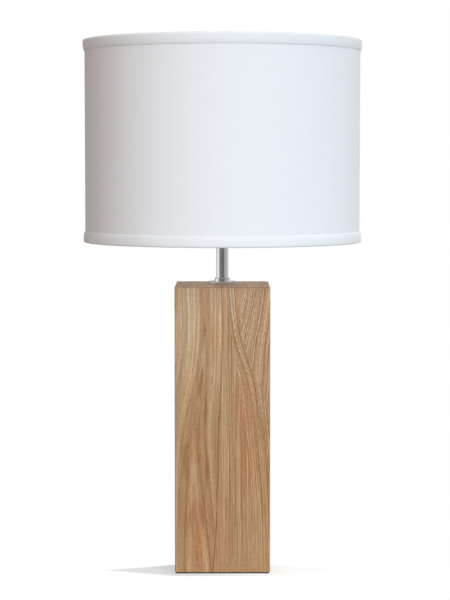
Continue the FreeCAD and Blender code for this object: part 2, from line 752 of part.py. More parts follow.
def bulb():
    """A frosted household bulb with a screw cap, its button contact and glass insulator."""
    turned("bulb_contact", [
        (Size(0), bulb_base), (button_radius, bulb_base, button_round),
        (button_radius, bulb_base + button_height), (Size(0), bulb_base + button_height)])
    cap_foot = bulb_base + button_height * 2
    hole = button_radius + play
    seat = cap_foot + insulator_lip
    turned("bulb_insulator", [
        (hole, bulb_base + insulator_lip), (insulator_radius, cap_foot),
        (insulator_radius, seat), (hole, seat)])
    rim = cap_foot + bulb_cap_height
    inner = bulb_cap_radius - bulb_cap_wall
    turned("bulb_cap", [
        (insulator_radius, cap_foot), (bulb_cap_radius, cap_foot + bulb_cap_cone),
        (bulb_cap_radius, rim), (inner, rim), (inner, seat + bulb_cap_cone),
        (insulator_radius, seat)])
    glass = bulb_glass
    neck_inner = bulb_neck_radius - glass
    wide_inner = bulb_radius - glass
    neck_base = rim - bulb_cap_cement
    flare = rim + bulb_cap_cement
    widest = bulb_top - bulb_radius - bulb_straight
    dome = bulb_radius - play
    turned("bulb_globe", [
        (bulb_neck_radius, neck_base), (bulb_neck_radius, flare, bulb_neck_bend),
        (bulb_radius, widest, bulb_shoulder_bend), (bulb_radius, bulb_top, dome),
        (Size(0), bulb_top), (Size(0), bulb_top - glass), (wide_inner, bulb_top - glass, dome - glass),
        (wide_inner, widest, bulb_shoulder_bend - glass),
        (neck_inner, flare, bulb_neck_bend + glass), (neck_inner, neck_base)])


# The harp and finial

def harp_wire():
    """The sprung wire loop, with a flat tab at each foot that stands beside a tongue."""
    piece = new_body("harp_wire")
    tab_base = saddle_top + harp_tab_gap
    wire_base = saddle_top + tongue_height + harp_tab_weld
    tab_top = wire_base + harp_tab_weld
    neck = saddle_top + harp_neck_height
    low = saddle_top + harp_shoulder_low
    high = saddle_top + harp_shoulder_high
    crown = harp_crown - harp_wire_radius
    widest = harp_width / 2
    bend_wire(piece, "XZ_Plane", [
        (harp_leg, wire_base), (harp_leg, neck, harp_neck_bend), (widest, low, harp_low_bend),
        (widest, high, harp_high_bend), (harp_crown_half_width, crown, harp_crown_bend),
        (-harp_crown_half_width, crown, harp_crown_bend), (-widest, high, harp_high_bend),
        (-widest, low, harp_low_bend), (-harp_leg, neck, harp_neck_bend), (-harp_leg, wire_base)],
        "XY_Plane", wire_base, (harp_leg, Size(0)), harp_wire_radius)
    tabs = new_sketch(piece, "XY_Plane", tab_base)
    for side in (-1, 1):
        draw_rectangle(tabs, (tongue_reach + play) * side, -tongue_width / 2,
                       (tongue_reach + play + harp_tab_thickness) * side, tongue_width / 2)
    pad(piece, tabs, tab_top - tab_base)


def harp_sleeve(label, side):
    """The ferrule that slides down over tongue and tab to lock one leg of the harp."""
    piece = new_body(label)
    base = saddle_top + sleeve_gap
    near = (tongue_reach - saddle_thickness - play * 1.5) * side
    far = (tongue_reach + play * 2.5 + harp_tab_thickness) * side
    half = tongue_width / 2 + play * 1.5
    wall = sleeve_wall
    outside = new_sketch(piece, "XY_Plane", base)
    draw_rectangle(outside, near - wall * side, -half - wall, far + wall * side, half + wall)
    draw_rectangle(outside, near, -half, far, half)
    pad(piece, outside, sleeve_height)


def harp_stud():
    """The swivel plate and threaded stud on the crown of the harp."""
    turned("harp_stud", [
        (Size(0), harp_crown), (stud_plate_radius, harp_crown),
        (stud_plate_radius, stud_plate_top, stud_plate_round), (stud_radius, stud_plate_top),
        (stud_radius, stud_plate_top + stud_height), (Size(0), stud_plate_top + stud_height)])


def finial():
    """The turned knob that holds the shade down, with its threaded brass insert."""
    base = hub_top + play
    ring("finial_insert", stud_radius + play, finial_insert_radius,
         base, base + finial_insert_height)
    top = base + finial_height
    bore = finial_insert_radius + play / 2
    ceiling = base + finial_insert_height + play
    waist_radius = finial_radius - finial_waist_depth
    waist = base + finial_foot + finial_waist_slope
    head = waist + finial_waist_slope
    knob = turned("finial_knob", [
        (bore, base), (finial_radius, base, finial_round),
        (finial_radius, base + finial_foot, finial_round), (waist_radius, waist),
        (finial_radius, head, finial_round), (finial_radius, top, finial_dome),
        (Size(0), top), (Size(0), ceiling), (bore, ceiling)])
    flute = new_sketch(knob, "XY_Plane", top)
    draw_circle(flute, finial_radius + finial_flute_offset, Size(0), finial_flute_radius)
    repeat_round(knob, [cut(knob, flute, top - head)], FINIAL_FLUTES)


# The shade

def spider():
    """The washer that drops over the stud, and the three arms that reach the top ring."""
    ring("spider_hub", stud_radius + hub_clearance, hub_radius, stud_plate_top, hub_top)
    piece = new_body("spider_arms")
    wire = ring_wire_radius
    hub_level = hub_top + wire
    ring_level = cloth_top - wire
    ring_face = ring_radius - wire + arm_weld
    arm = bend_wire(piece, "YZ_Plane", [
        (arm_start, hub_level), (arm_foot, hub_level, arm_bend), (arm_knee, ring_level, arm_bend),
        (ring_face, ring_level)], "XZ_Plane", -arm_start, (Size(0), hub_level), wire)
    repeat_round(piece, [arm], SHADE_ARMS)


def shade_ring(label, level):
    """A wire ring that keeps the end of the shade round."""
    hoop = doc.addObject("Part::Torus", label)
    hoop.Label = label
    bind(hoop, "Radius1", ring_radius)
    bind(hoop, "Radius2", ring_wire_radius)
    bind(hoop, "Placement.Base.z", level)
    PIECES.append(hoop)


def shade_wall():
    """The stiff translucent liner and the cloth laminated to its outside."""
    ring("shade_liner", liner_inner, liner_outer, cloth_base, cloth_top)
    ring("shade_fabric", liner_outer, cloth_radius, cloth_base, cloth_top)


def trim(label, rim, inward):
    """The folded cloth tape round one rim; inward is the step from rim to middle."""
    fold = trim_leg_thickness
    leg_face = ring_radius - ring_wire_radius
    tape_end = rim + trim_height * inward
    return turned(label, [
        (cloth_radius, tape_end), (shade_radius, tape_end, trim_round),
        (shade_radius, rim, trim_round), (leg_face - fold, rim, trim_inner_round),
        (leg_face - fold, rim + trim_turn_in * inward),
        (leg_face, rim + trim_turn_in * inward), (leg_face, rim + fold * inward),
        (cloth_radius, rim + fold * inward)])


def shade():
    """Rings, wall and trims; the top trim is slit where the three arms come through."""
    shade_ring("top_ring", cloth_top - ring_wire_radius)
    shade_ring("bottom_ring", cloth_base + ring_wire_radius)
    shade_wall()
    trim("bottom_trim", shade_bottom, 1)
    top = trim("top_trim", total_height, -1)
    slit = new_sketch(top, "XZ_Plane")
    half = ring_wire_radius + play
    draw_rectangle(slit, -half, total_height - trim_turn_in - WASTE, half, cloth_top + play)
    reach = ring_radius - ring_wire_radius + play
    repeat_round(top, [cut(top, slit, reach)], SHADE_ARMS)


def build():
    foot_pad()
    for label, turn in (("front_panel", 0), ("right_panel", 90), ("left_panel", -90)):
        panel(label, turn)
    panel("back_panel", 180, with_inlet=True)
    top_board()
    bottom_board()
    wood_screws()
    corner_blocks()
    base_weight()
    pipe_and_nuts()
    cord_grommet()
    stem()
    harp_saddle()
    socket_cap()
    cap_set_screw()
    shell_and_liner()
    socket_interior()
    contacts()
    switch()
    bulb()
    harp_wire()
    harp_sleeve("left_harp_sleeve", -1)
    harp_sleeve("right_harp_sleeve", 1)
    harp_stud()
    finial()
    spider()
    shade()
    doc.recompute()


def check_model():
    """Stop if any object failed, any shape is bad or any cut missed the material."""
    for item in doc.Objects:
        if "Invalid" in item.State or "Error" in item.State:
            raise RuntimeError(f"{item.Name} failed: {item.State}")
    for piece in PIECES:
        if piece.Shape.isNull() or not piece.Shape.isValid() or not piece.Shape.Solids:
            raise RuntimeError(f"{piece.Label} has no valid solid")
    for feature in CUTS:
        if feature.Shape.Volume > feature.BaseFeature.Shape.Volume - LEAST_CUT:
            raise RuntimeError(f"{feature.Name} cuts nothing")


def export():
    os.makedirs("parts", exist_ok=True)
    for piece in PIECES:
        piece.Shape.exportStep(f"parts/{piece.Label}.step")
        solids = len(piece.Shape.Solids)
        print(f"{piece.Label:22s} {solids} solid(s) {piece.Shape.Volume:12.1f} mm3")


build()
check_model()
export()
print(len(PIECES), "nodes")
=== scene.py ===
# %% [markdown]
# # A column table lamp
# The lamp is a square wood-veneered column, a short bright stem and a wide drum shade.
# Its solid pieces come from the frame at their real size, in metres, and most of them only
# need a finish. The cloth of the shade, its trims, the two screw threads and the felt foot
# are made here.

# %% Load the frame
import math

import bmesh
import bpy
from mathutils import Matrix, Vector


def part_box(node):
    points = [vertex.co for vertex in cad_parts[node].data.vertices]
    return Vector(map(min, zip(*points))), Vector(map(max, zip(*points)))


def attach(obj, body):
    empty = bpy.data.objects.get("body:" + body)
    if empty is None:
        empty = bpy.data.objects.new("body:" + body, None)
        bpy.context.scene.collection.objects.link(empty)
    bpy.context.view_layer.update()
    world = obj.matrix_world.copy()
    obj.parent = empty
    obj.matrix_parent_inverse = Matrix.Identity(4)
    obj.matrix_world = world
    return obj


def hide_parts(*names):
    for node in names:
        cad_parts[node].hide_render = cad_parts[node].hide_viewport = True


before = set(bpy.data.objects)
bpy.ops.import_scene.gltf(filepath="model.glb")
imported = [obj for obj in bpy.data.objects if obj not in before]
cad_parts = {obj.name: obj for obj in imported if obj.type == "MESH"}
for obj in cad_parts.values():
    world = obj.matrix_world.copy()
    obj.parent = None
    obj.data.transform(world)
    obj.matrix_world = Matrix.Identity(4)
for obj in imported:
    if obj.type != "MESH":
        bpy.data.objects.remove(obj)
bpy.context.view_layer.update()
mm = 0.001

# %% [markdown]
# ## The camera
# The photograph was taken with a long lens from over two metres away, so the shade's rims
# are shallow ellipses. Distance, height and tilt were worked out from those two curves and
# from the heights and widths of shade and column. The long side of the picture is 600
# pixels, and the lens is the focal length that goes with a sensor 36 mm along that side.

# %% Camera
CAMERA_DISTANCE = 2640 * mm
CAMERA_HEIGHT = 562 * mm
CAMERA_SIDE = 3.5 * mm
CAMERA_TILT = math.radians(4.2)
SENSOR = 36.0
FOCAL_PIXELS = 1920.0
LONG_SIDE_PIXELS = 600

camera_data = bpy.data.cameras.new("camera")
camera_data.sensor_width = SENSOR
camera_data.lens = SENSOR * FOCAL_PIXELS / LONG_SIDE_PIXELS
camera = bpy.data.objects.new("camera", camera_data)
camera.location = (CAMERA_SIDE, -CAMERA_DISTANCE, CAMERA_HEIGHT)
camera.rotation_euler = (math.radians(90) - CAMERA_TILT, 0, 0)
bpy.context.scene.collection.objects.link(camera)
bpy.context.scene.camera = camera
bpy.context.scene.view_settings.view_transform = "Standard"
print("lens:", round(camera_data.lens, 1), "mm")

# %% [markdown]
# ## Building materials from nodes
# Every finish below is a small network of nodes. A few short helpers keep those networks
# readable: one sets or links an input, one adds a node, one does sums, one turns a value
# from 0 to 1 into a colour, one lays a colour over another, and one fades between limits.

# %% Node helpers


def put(tree, socket, value):
    """Link an output, or set a plain number, vector or colour."""
    if isinstance(value, bpy.types.NodeSocket):
        tree.links.new(value, socket)
    else:
        socket.default_value = value


def add(tree, kind, inputs=None, **settings):
    node = tree.nodes.new(kind)
    for name, value in settings.items():
        setattr(node, name, value)
    for name, value in (inputs or {}).items():
        put(tree, node.inputs[name], value)
    return node


def calc(tree, operation, *values):
    node = add(tree, "ShaderNodeMath", operation=operation)
    for socket, value in zip(node.inputs, values):
        put(tree, socket, value)
    return node.outputs[0]


def ramp(tree, factor, stops):
    """Colours at places from 0 to 1; a single number stands for a grey."""
    node = add(tree, "ShaderNodeValToRGB", {"Fac": factor})
    while len(node.color_ramp.elements) < len(stops):
        node.color_ramp.elements.new(0.5)
    for element, (place, colour) in zip(node.color_ramp.elements, stops):
        grey = isinstance(colour, (int, float))
        element.position = place
        element.color = (colour, colour, colour, 1) if grey else (*colour, 1)
    return node.outputs["Color"]


def mixed(tree, factor, first, second, way="MIX"):
    """One colour laid over another by a factor."""
    node = add(tree, "ShaderNodeMix", data_type="RGBA", blend_type=way)
    for number, value in ((0, factor), (6, first), (7, second)):
        plain = isinstance(value, tuple) and len(value) == 3
        put(tree, node.inputs[number], (*value, 1) if plain else value)
    return node.outputs[2]


def fade(tree, value, low, high):
    """0 below low, 1 above high, smooth between them."""
    node = add(tree, "ShaderNodeMapRange", {"Value": value}, interpolation_type="SMOOTHSTEP")
    put(tree, node.inputs["From Min"], low)
    put(tree, node.inputs["From Max"], high)
    return node.outputs["Result"]


def srgb(red, green, blue):
    """A colour read from a screen, 0 to 255, as the linear numbers that shaders use."""
    def linear(value):
        value /= 255
        return value / 12.92 if value <= 0.04045 else ((value + 0.055) / 1.055) ** 2.4
    return linear(red), linear(green), linear(blue)


# %% [markdown]
# ## Studio world
# The lamp stands before pure white. That white is only for the camera: the light that
# falls on the lamp from all round is dim and warm, and orange from the far left, which tints
# the drum's edge. Polished metal needs something to mirror, so mirror rays see a studio
# with a bright panel on the left, the dark room behind the camera, and a grey wall on the
# right.

# %% World
FAR_LEFT = (0.11, 0.025, 0.018)
NEAR_LEFT = (0.11, 0.086, 0.056)
RIGHT_SIDE = (0.10, 0.075, 0.045)
# bearing in degrees, from the front towards the right, and how bright the studio is there
STUDIO = [(-180, 0.45), (-128, 0.45), (-118, 0.70), (-105, 0.95), (-66, 0.95), (-57, 0.24), (-12, 0.19),
          (6, 0.165), (28, 0.13), (36, 0.42), (60, 0.45), (85, 0.50), (110, 0.62), (140, 0.95), (180, 0.6)]


def make_world():
    world = bpy.data.worlds.new("studio")
    world.use_nodes = True
    tree = world.node_tree
    tree.nodes.clear()
    direction = add(tree, "ShaderNodeTexCoord").outputs["Generated"]
    split = add(tree, "ShaderNodeSeparateXYZ", {"Vector": direction})
    across, toward = split.outputs["X"], calc(tree, "MULTIPLY", split.outputs["Y"], -1)
    bearing = calc(tree, "ARCTAN2", across, toward)
    turn = calc(tree, "MULTIPLY_ADD", bearing, 0.5 / math.pi, 0.5)
    mirror = ramp(tree, turn, [(0.5 + angle / 360, grey) for angle, grey in STUDIO])
    side = fade(tree, across, -1.0, 1.0)
    soft = ramp(tree, side, [(0, FAR_LEFT), (0.3, NEAR_LEFT), (0.75, RIGHT_SIDE)])
    rays = add(tree, "ShaderNodeLightPath")
    lit = mixed(tree, rays.outputs["Is Glossy Ray"], soft, mirror)
    seen = calc(tree, "MAXIMUM", rays.outputs["Is Camera Ray"], rays.outputs["Is Transmission Ray"])
    sky = add(tree, "ShaderNodeBackground", {"Color": mixed(tree, seen, lit, (1, 1, 1))})
    add(tree, "ShaderNodeOutputWorld", {"Surface": sky.outputs["Background"]})
    bpy.context.scene.world = world


make_world()
print("world: white to the camera, a studio to mirrors")

# %% [markdown]
# ## Lamps
# The drum is darkest on its left edge and brightest just right of the middle, and stays
# bright to its right edge. Three broad suns give that: a key from the front right, a
# weaker one from the front left, and a rim light from behind on the right. They stand low,
# so that the shade throws no shadow on the column. A fourth shines straight down, on the
# column's top and into the shade. A fifth lights the back, for views from there.

# %% Lamps
LAMP_DISTANCE = 3.0
# bearing and height in degrees, strength, spread in degrees, and colour
SUNS = {
    "key": (30, 17, 2.31, 34, (0.80, 0.90, 1.0)),
    "fill": (-30, 15, 0.99, 38, (1.0, 0.955, 0.85)),
    "rim": (120, 18, 0.95, 38, (1.0, 0.945, 0.90)),
    "top": (0, 87, 0.9, 36, (1.0, 1.0, 1.0)),
    "back": (176, 24, 1.5, 40, (1.0, 1.0, 1.0)),
}


def sun(name, bearing, height, strength, spread, colour):
    """A far lamp; bearing is from the front towards the right, both angles in degrees."""
    lamp = bpy.data.lights.new(name, "SUN")
    lamp.energy = strength
    lamp.angle = math.radians(spread)
    lamp.color = colour
    piece = bpy.data.objects.new(name, lamp)
    turn, rise = math.radians(bearing), math.radians(height)
    towards = Vector((math.sin(turn) * math.cos(rise), -math.cos(turn) * math.cos(rise), math.sin(rise)))
    piece.location = towards * LAMP_DISTANCE
    piece.rotation_euler = towards.to_track_quat("Z", "Y").to_euler()
    piece.visible_glossy = False
    bpy.context.scene.collection.objects.link(piece)
    print("lamp", name, "from", bearing, "degrees")


for name, facts in SUNS.items():
    sun(name, *facts)

# %% [markdown]
# ## Floor
# The floor is a disc of white paper. To the camera it is as white as the background, except
# in two low wedges that start at the column and end beside it. There the paper shows as it
# is lit, so the column's own soft shadow falls on it. The paper's glow is also turned down in
# the wedges, more on the left than on the right, which paints shade there and makes the left
# wedge deeper.

# %% Floor
FLOOR_RADIUS = 3.2
PAPER = (0.345, 0.35, 0.36)
# glow in the two wedges, lower on the left than on the right: painted shade over the real shadow
LEFT_GLOW, RIGHT_GLOW = 0.49, 0.67
SHADOW_MIDDLE = (0.065, -0.042)
SHADOW_REACH = (0.107, 0.041)
SHADOW_EDGE = 0.72
GLOW_TURN = 0.06
FLOOR_SIDES = 96
FLOOR_LEVEL = -0.0002


def outside_shadow(tree, across, deep):
    """1 everywhere but in the two wedges beside the column's foot."""
    beside = calc(tree, "SUBTRACT", calc(tree, "ABSOLUTE", across), SHADOW_MIDDLE[0])
    beside = calc(tree, "DIVIDE", calc(tree, "MAXIMUM", beside, 0), SHADOW_REACH[0])
    behind = calc(tree, "DIVIDE", calc(tree, "SUBTRACT", deep, SHADOW_MIDDLE[1]), SHADOW_REACH[1])
    return fade(tree, calc(tree, "ADD", beside, calc(tree, "ABSOLUTE", behind)), SHADOW_EDGE, 1.0)


def floor_material():
    material = bpy.data.materials.new("white_paper_floor")
    material.use_nodes = True
    tree = material.node_tree
    tree.nodes.clear()
    point = add(tree, "ShaderNodeTexCoord").outputs["Object"]
    across, deep, _ = add(tree, "ShaderNodeSeparateXYZ", {0: point}).outputs
    rays = add(tree, "ShaderNodeLightPath")
    seen = calc(tree, "MAXIMUM", rays.outputs["Is Camera Ray"], rays.outputs["Is Glossy Ray"])
    # In the wedges the glow is below white and lowest on the left: painted shade on the lit paper.
    side = fade(tree, across, -GLOW_TURN, GLOW_TURN)
    glow = calc(tree, "MULTIPLY_ADD", side, RIGHT_GLOW - LEFT_GLOW, LEFT_GLOW)
    paper = add(tree, "ShaderNodeBsdfDiffuse", {"Color": (*PAPER, 1)})
    light = add(tree, "ShaderNodeEmission", {"Strength": calc(tree, "MULTIPLY", glow, seen)})
    shaded = add(tree, "ShaderNodeAddShader", {0: paper.outputs[0], 1: light.outputs[0]})
    white = add(tree, "ShaderNodeEmission")
    plain = calc(tree, "MULTIPLY", outside_shadow(tree, across, deep), seen)
    both = add(tree, "ShaderNodeMixShader", {0: plain, 1: shaded.outputs[0], 2: white.outputs[0]})
    add(tree, "ShaderNodeOutputMaterial", {"Surface": both.outputs[0]})
    return material


def floor():
    angles = [2 * math.pi * k / FLOOR_SIDES for k in range(FLOOR_SIDES)]
    points = [(math.cos(a) * FLOOR_RADIUS, math.sin(a) * FLOOR_RADIUS, FLOOR_LEVEL) for a in angles]
    mesh = bpy.data.meshes.new("floor")
    mesh.from_pydata(points, [], [list(range(FLOOR_SIDES))])
    mesh.materials.append(floor_material())
    disc = bpy.data.objects.new("floor", mesh)
    bpy.context.scene.collection.objects.link(disc)


floor()
print("floor:", FLOOR_RADIUS, "m in radius")

# %% [markdown]
# ## Starting a finish
# Plastic, metal, glass and wood all use one shader, which Blender calls Principled. A
# finish starts with it and its plain values. Places on a surface are measured in
# millimetres from the lamp's own origin, so that a grain of half a millimetre is that size
# on every piece, whatever the piece's own size is.

# %% Start a finish


def finish(name, **plain):
    """A material with a Principled shader; plain values are set on the shader itself."""
    material = bpy.data.materials.new(name)
    material.use_nodes = True
    tree = material.node_tree
    tree.nodes.clear()
    shader = add(tree, "ShaderNodeBsdfPrincipled")
    add(tree, "ShaderNodeOutputMaterial", {"Surface": shader.outputs["BSDF"]})
    for socket, value in plain.items():
        shader.inputs[socket.replace("_", " ")].default_value = value
    return material, tree, shader


def place(tree):
    """The surface point in millimetres, and its three sizes."""
    point = add(tree, "ShaderNodeTexCoord").outputs["Object"]
    point = add(tree, "ShaderNodeVectorMath", {0: point, 3: 1 / mm}, operation="SCALE").outputs[0]
    return point, *add(tree, "ShaderNodeSeparateXYZ", {0: point}).outputs


def join(tree, x, y, z=0.0):
    return add(tree, "ShaderNodeCombineXYZ", {0: x, 1: y, 2: z}).outputs[0]


def scaled(tree, value, size):
    """The value counted in steps of one size."""
    return calc(tree, "DIVIDE", value, size)


def noise(tree, vector, size=1.0, detail=2.0, roughness=0.5):
    """Soft blobs from 0 to 1, about one size across."""
    wanted = {"Vector": vector, "Scale": 1 / size, "Detail": detail, "Roughness": roughness}
    return add(tree, "ShaderNodeTexNoise", wanted).outputs["Fac"]


def swing(tree, value, amount):
    """A noise value spread evenly about nought, by the amount each way."""
    return calc(tree, "MULTIPLY_ADD", value, 2 * amount, -amount)


def raise_skin(tree, shader, height, depth):
    """Bump: a height from 0 to 1 stands for a depth in millimetres."""
    bump = add(tree, "ShaderNodeBump", {"Height": height, "Distance": depth * mm})
    put(tree, shader.inputs["Normal"], bump.outputs["Normal"])


def dress(material, *names):
    """Give pieces of the frame a finish."""
    for name in names:
        piece = bpy.data.objects[name]
        piece.data.materials.clear()
        piece.data.materials.append(material)
    print(material.name, "on", ", ".join(names))


# %% [markdown]
# ## The veneer's rings
# Veneer shows a tree's growth rings where a knife sliced through them. Beside the heart of
# the log they show as straight lines, and over it as tall arches. Each ring here is a line
# that keeps its distance from a drawn one. The board has two leaves side by side, and a
# dark line where they meet. In the left leaf, rings lie on both sides of a heart line and
# bend round it in arches, because the knife ran deeper there higher up. In the right leaf
# they are straight at first, then slant after one light line down the left arm of a V, and
# past that line they lean the other way. A drawn line is a smooth curve through a few
# points, given as height and place across, in millimetres.

# %% Rings of the two leaves
COLUMN_TOP = 390.0
COLUMN_HALF = 64.5
LEAF_SPAN = 128.0
ROUND_TIP = 4.0
BEND_FROM, BEND_FULL = 46, 4
ZONE_EDGE = 0.5
ZONE_STEP = 100
LEFT_HEART = [(0, -33), (103, -37), (192, -38), (289, -26), (390, -24)]
LEFT_DEPTH = [(0, 0), (40, 2), (150, 9), (289, 16), (330, 17), (390, 17)]
LIGHT_LINE = [(0, 60), (100, 57), (194, 50), (229, 45.5), (261, 40.5), (289, 32.5), (307, 26.5),
              (337, 20), (383, 15)]
STRAIGHT_LIMIT = [(0, 43), (100, 39), (194, 32), (242, 26), (280, 20), (312, 15), (340, 11), (390, 7)]
SLANT_LIMIT = [(0, 63.9), (225, 63), (262, 50), (285, 38), (304, 31), (319, 27), (390, 24)]
RIGHT_ARM = [(0, 0), (290, 0), (319, 3), (334, 6), (370, 12), (390, 15)]
MEETING_LINE = [(0, -13.5), (45, -9.6), (116, -6.6), (194, -4.4), (254, -1.8), (318, 0.3), (385, -1.2)]


def course(tree, up, points):
    """A smooth line up the leaf through a few points, each a height and a value."""
    node = add(tree, "ShaderNodeFloatCurve", {"Value": scaled(tree, up, COLUMN_TOP)})
    dots = node.mapping.curves[0].points
    while len(dots) < len(points):
        dots.new(0.5, 0.5)
    for dot, (height, value) in zip(dots, points):
        dot.location = (height / COLUMN_TOP, value / LEAF_SPAN + 0.5)
    node.mapping.update()
    return calc(tree, "MULTIPLY_ADD", node.outputs[0], LEAF_SPAN, -LEAF_SPAN / 2)


def distance(tree, a, b):
    squares = calc(tree, "MULTIPLY_ADD", a, a, calc(tree, "MULTIPLY", b, b))
    return calc(tree, "SQRT", squares)


def either(tree, choice, first, second):
    """The first number where the choice is 0, and the second where it is 1."""
    return add(tree, "ShaderNodeMix", {0: choice, 2: first, 3: second}).outputs[0]


def left_rings(tree, across, up, fray):
    """Arches about a heart line; fray moves single fibres, which feathers their tips."""
    from_heart = calc(tree, "SUBTRACT", across, course(tree, up, LEFT_HEART))
    beside = distance(tree, from_heart, ROUND_TIP)
    deeper = course(tree, calc(tree, "ADD", up, fray), LEFT_DEPTH)
    return calc(tree, "MULTIPLY_ADD", deeper, fade(tree, beside, BEND_FROM, BEND_FULL), beside)


def right_rings(tree, across, up, fray):
    """Straight lines, slanted ones after the light line, and the V's right arm."""
    height = calc(tree, "ADD", up, fray)
    slanted = calc(tree, "SUBTRACT", across, course(tree, height, LIGHT_LINE))
    leaning = calc(tree, "SUBTRACT", across, course(tree, height, RIGHT_ARM))
    past_straight = calc(tree, "SUBTRACT", across, course(tree, height, STRAIGHT_LIMIT))
    past_slanted = calc(tree, "SUBTRACT", across, course(tree, height, SLANT_LIMIT))
    slant = fade(tree, past_straight, -ZONE_EDGE, ZONE_EDGE)
    lean = fade(tree, past_slanted, -ZONE_EDGE, ZONE_EDGE)
    ring = either(tree, slant, across, calc(tree, "ADD", slanted, ZONE_STEP))
    return either(tree, lean, ring, calc(tree, "ADD", leaning, 2 * ZONE_STEP))


# %% [markdown]
# ## The veneer's colour
# The colour is a mixture of three widths of ring, from broad bands to hair lines, then fibres
# that run straight up whatever the rings do, and fine dark pores. Over that lies a slow change
# from greyer and paler at the top to warmer at the foot, which is painted light: it stands for
# how the light varies up the column. Each face of the column has its own leaf, so each turns,
# flips or shifts the pattern. A few reddish flames, a dark fleck, a paler patch and the red
# heart of the V are laid over the front face one by one, as leaning ovals. The pores and lines
# are pressed a few hundredths of a millimetre into the surface, and the lacquer over them is satin.

# %% Veneer
GRAIN = [(0.16, srgb(140, 99, 64)), (0.36, srgb(162, 123, 87)), (0.50, srgb(175, 139, 104)),
         (0.64, srgb(189, 156, 121)), (0.84, srgb(209, 181, 149))]
# painted light: a tint by height, greyer and paler at the top of the column, warmer at its foot
HEIGHT_LIGHT_TINTS = [(0, (1.02, 0.97, 0.86)), (0.2, (0.96, 0.91, 0.81)), (0.5, (0.99, 0.97, 0.92)),
           (0.75, (1.05, 1.11, 1.17)), (1, (1.06, 1.18, 1.33))]
REDDISH = (1.04, 0.90, 0.82)
SEAM_TINT = (0.66, 0.54, 0.44)
PORE_TINT = (0.82, 0.76, 0.70)
ARRIS_TINT = (0.68, 0.59, 0.52)
FLAME = (0.82, 0.67, 0.56)
RED_HEART = (1.0, 0.86, 0.76)
FLECK = (0.55, 0.45, 0.38)
PALE = (1.06, 1.12, 1.18)
# middle, reach, lean and tint of each oval, in millimetres
FRONT_MARKS = [
    ((-46.0, 330.0), (34.0, 150.0), 0.0, PALE),
    ((-23.0, 331.0), (1.2, 9.0), 0.0, FLECK),
    ((-15.0, 323.0), (4.0, 22.0), 0.0, RED_HEART),
    ((-29.5, 258.0), (4.0, 38.0), 0.15, FLAME),
    ((-22.5, 226.0), (3.0, 46.0), 0.03, FLAME),
    ((-51.5, 158.0), (4.5, 40.0), 0.125, FLAME),
    ((-37.0, 170.0), (9.0, 34.0), 0.05, RED_HEART),
    ((-21.5, 138.0), (3.4, 36.0), 0.0, FLAME),
    ((-42.0, 82.0), (5.0, 30.0), 0.236, FLAME),
    ((-29.0, 84.0), (5.0, 28.0), -0.1, FLAME),
    ((-33.0, 40.0), (10.0, 36.0), 0.0, RED_HEART),
    ((29.0, 232.0), (12.0, 60.0), 0.0, RED_HEART),
    ((34.0, 150.0), (15.0, 60.0), -0.03, RED_HEART),
]
MARK_EDGE = (1.0, 0.2)
MARK_FRAY, MARK_FRAY_AMOUNT = (1.1, 90), 18
# width and length in millimetres, then the strength in the left and in the right leaf
RING_WIDTHS = [(8.0, 700, 1.12, 0.05), (1.25, 600, 0.22, 0.82), (0.8, 220, 0.78, 1.36)]
BROAD_AT_TOP = 0.12
BROAD_HEIGHTS = (330, 200)
# width and length in millimetres, and strength
FIBRES = [(1.1, 60, 0.20), (0.45, 26, 0.24), (0.9, 3.5, 0.15)]
LIGHT_LINE_GAP = 4.3
LIGHT_LINE_STRENGTH = 0.055
LIGHT_LINE_REACH = (6, 2)
LIGHT_LINE_HEIGHTS = (190, 260)
DRIFT, DRIFT_AMOUNT = (42, 210), 2.4
RIPPLE, RIPPLE_AMOUNT = (6, 80), 0.8
FRAY, FRAY_AMOUNT, RIGHT_FRAY = (0.9, 130), 30, 0.25
SEAM_DRIFT, SEAM_BLUR, SEAM_HALF = 0.15, 0.3, (1.4, 0.3)
SEED_STEP = 90
PATCH, PATCH_LIMITS = (6, 140), (0.45, 0.70)
PORE, PORE_LIMITS, PORE_DEPTH = (0.55, 8), (0.56, 0.70), 0.6
LID_DARK_BAND, SIDE_DARK_BAND, TOP_DARK_BAND = (1.5, 0.5), (1.1, 0.2), (1.4, 0.4)
LACQUER_ROUGH, LACQUER_FALL = 0.56, 0.18
VENEER_RELIEF = 0.06


def face_place(tree, turn, shift, flip):
    """Across and up on one face, the place on its leaf and the height, in millimetres."""
    point, _, _, z = place(tree)
    turned = add(tree, "ShaderNodeVectorRotate", {"Vector": point, "Angle": -math.radians(turn)},
                 rotation_type="Z_AXIS").outputs[0]
    across, _, up = add(tree, "ShaderNodeSeparateXYZ", {0: turned}).outputs
    if flip:
        up = calc(tree, "SUBTRACT", COLUMN_TOP, up)
    return across, up, calc(tree, "ADD", across, shift), z


def streak(tree, across, up, wide, tall, seed, amount):
    """Noise drawn out along the grain, spread about nought by the amount."""
    spot = join(tree, scaled(tree, across, wide), scaled(tree, up, tall), seed)
    return swing(tree, noise(tree, spot, detail=1), amount)


def ring_number(tree, leaf, up, seed):
    """The growth ring at a point, and which of the two leaves it is in."""
    drift = streak(tree, leaf, up, *DRIFT, seed, DRIFT_AMOUNT)
    ripple = streak(tree, leaf, up, *RIPPLE, seed + 4, RIPPLE_AMOUNT)
    point = calc(tree, "ADD", leaf, calc(tree, "ADD", drift, ripple))
    wandering = calc(tree, "MULTIPLY_ADD", drift, SEAM_DRIFT, leaf)
    past = calc(tree, "SUBTRACT", wandering, course(tree, up, MEETING_LINE))
    side = fade(tree, past, -SEAM_BLUR, SEAM_BLUR)
    fray = streak(tree, leaf, up, *FRAY, seed + 8, FRAY_AMOUNT)
    left = left_rings(tree, point, up, fray)
    right = right_rings(tree, point, up, calc(tree, "MULTIPLY", fray, RIGHT_FRAY))
    ring = either(tree, side, left, calc(tree, "ADD", right, 3 * ZONE_STEP))
    return calc(tree, "ADD", ring, seed * SEED_STEP), side, past


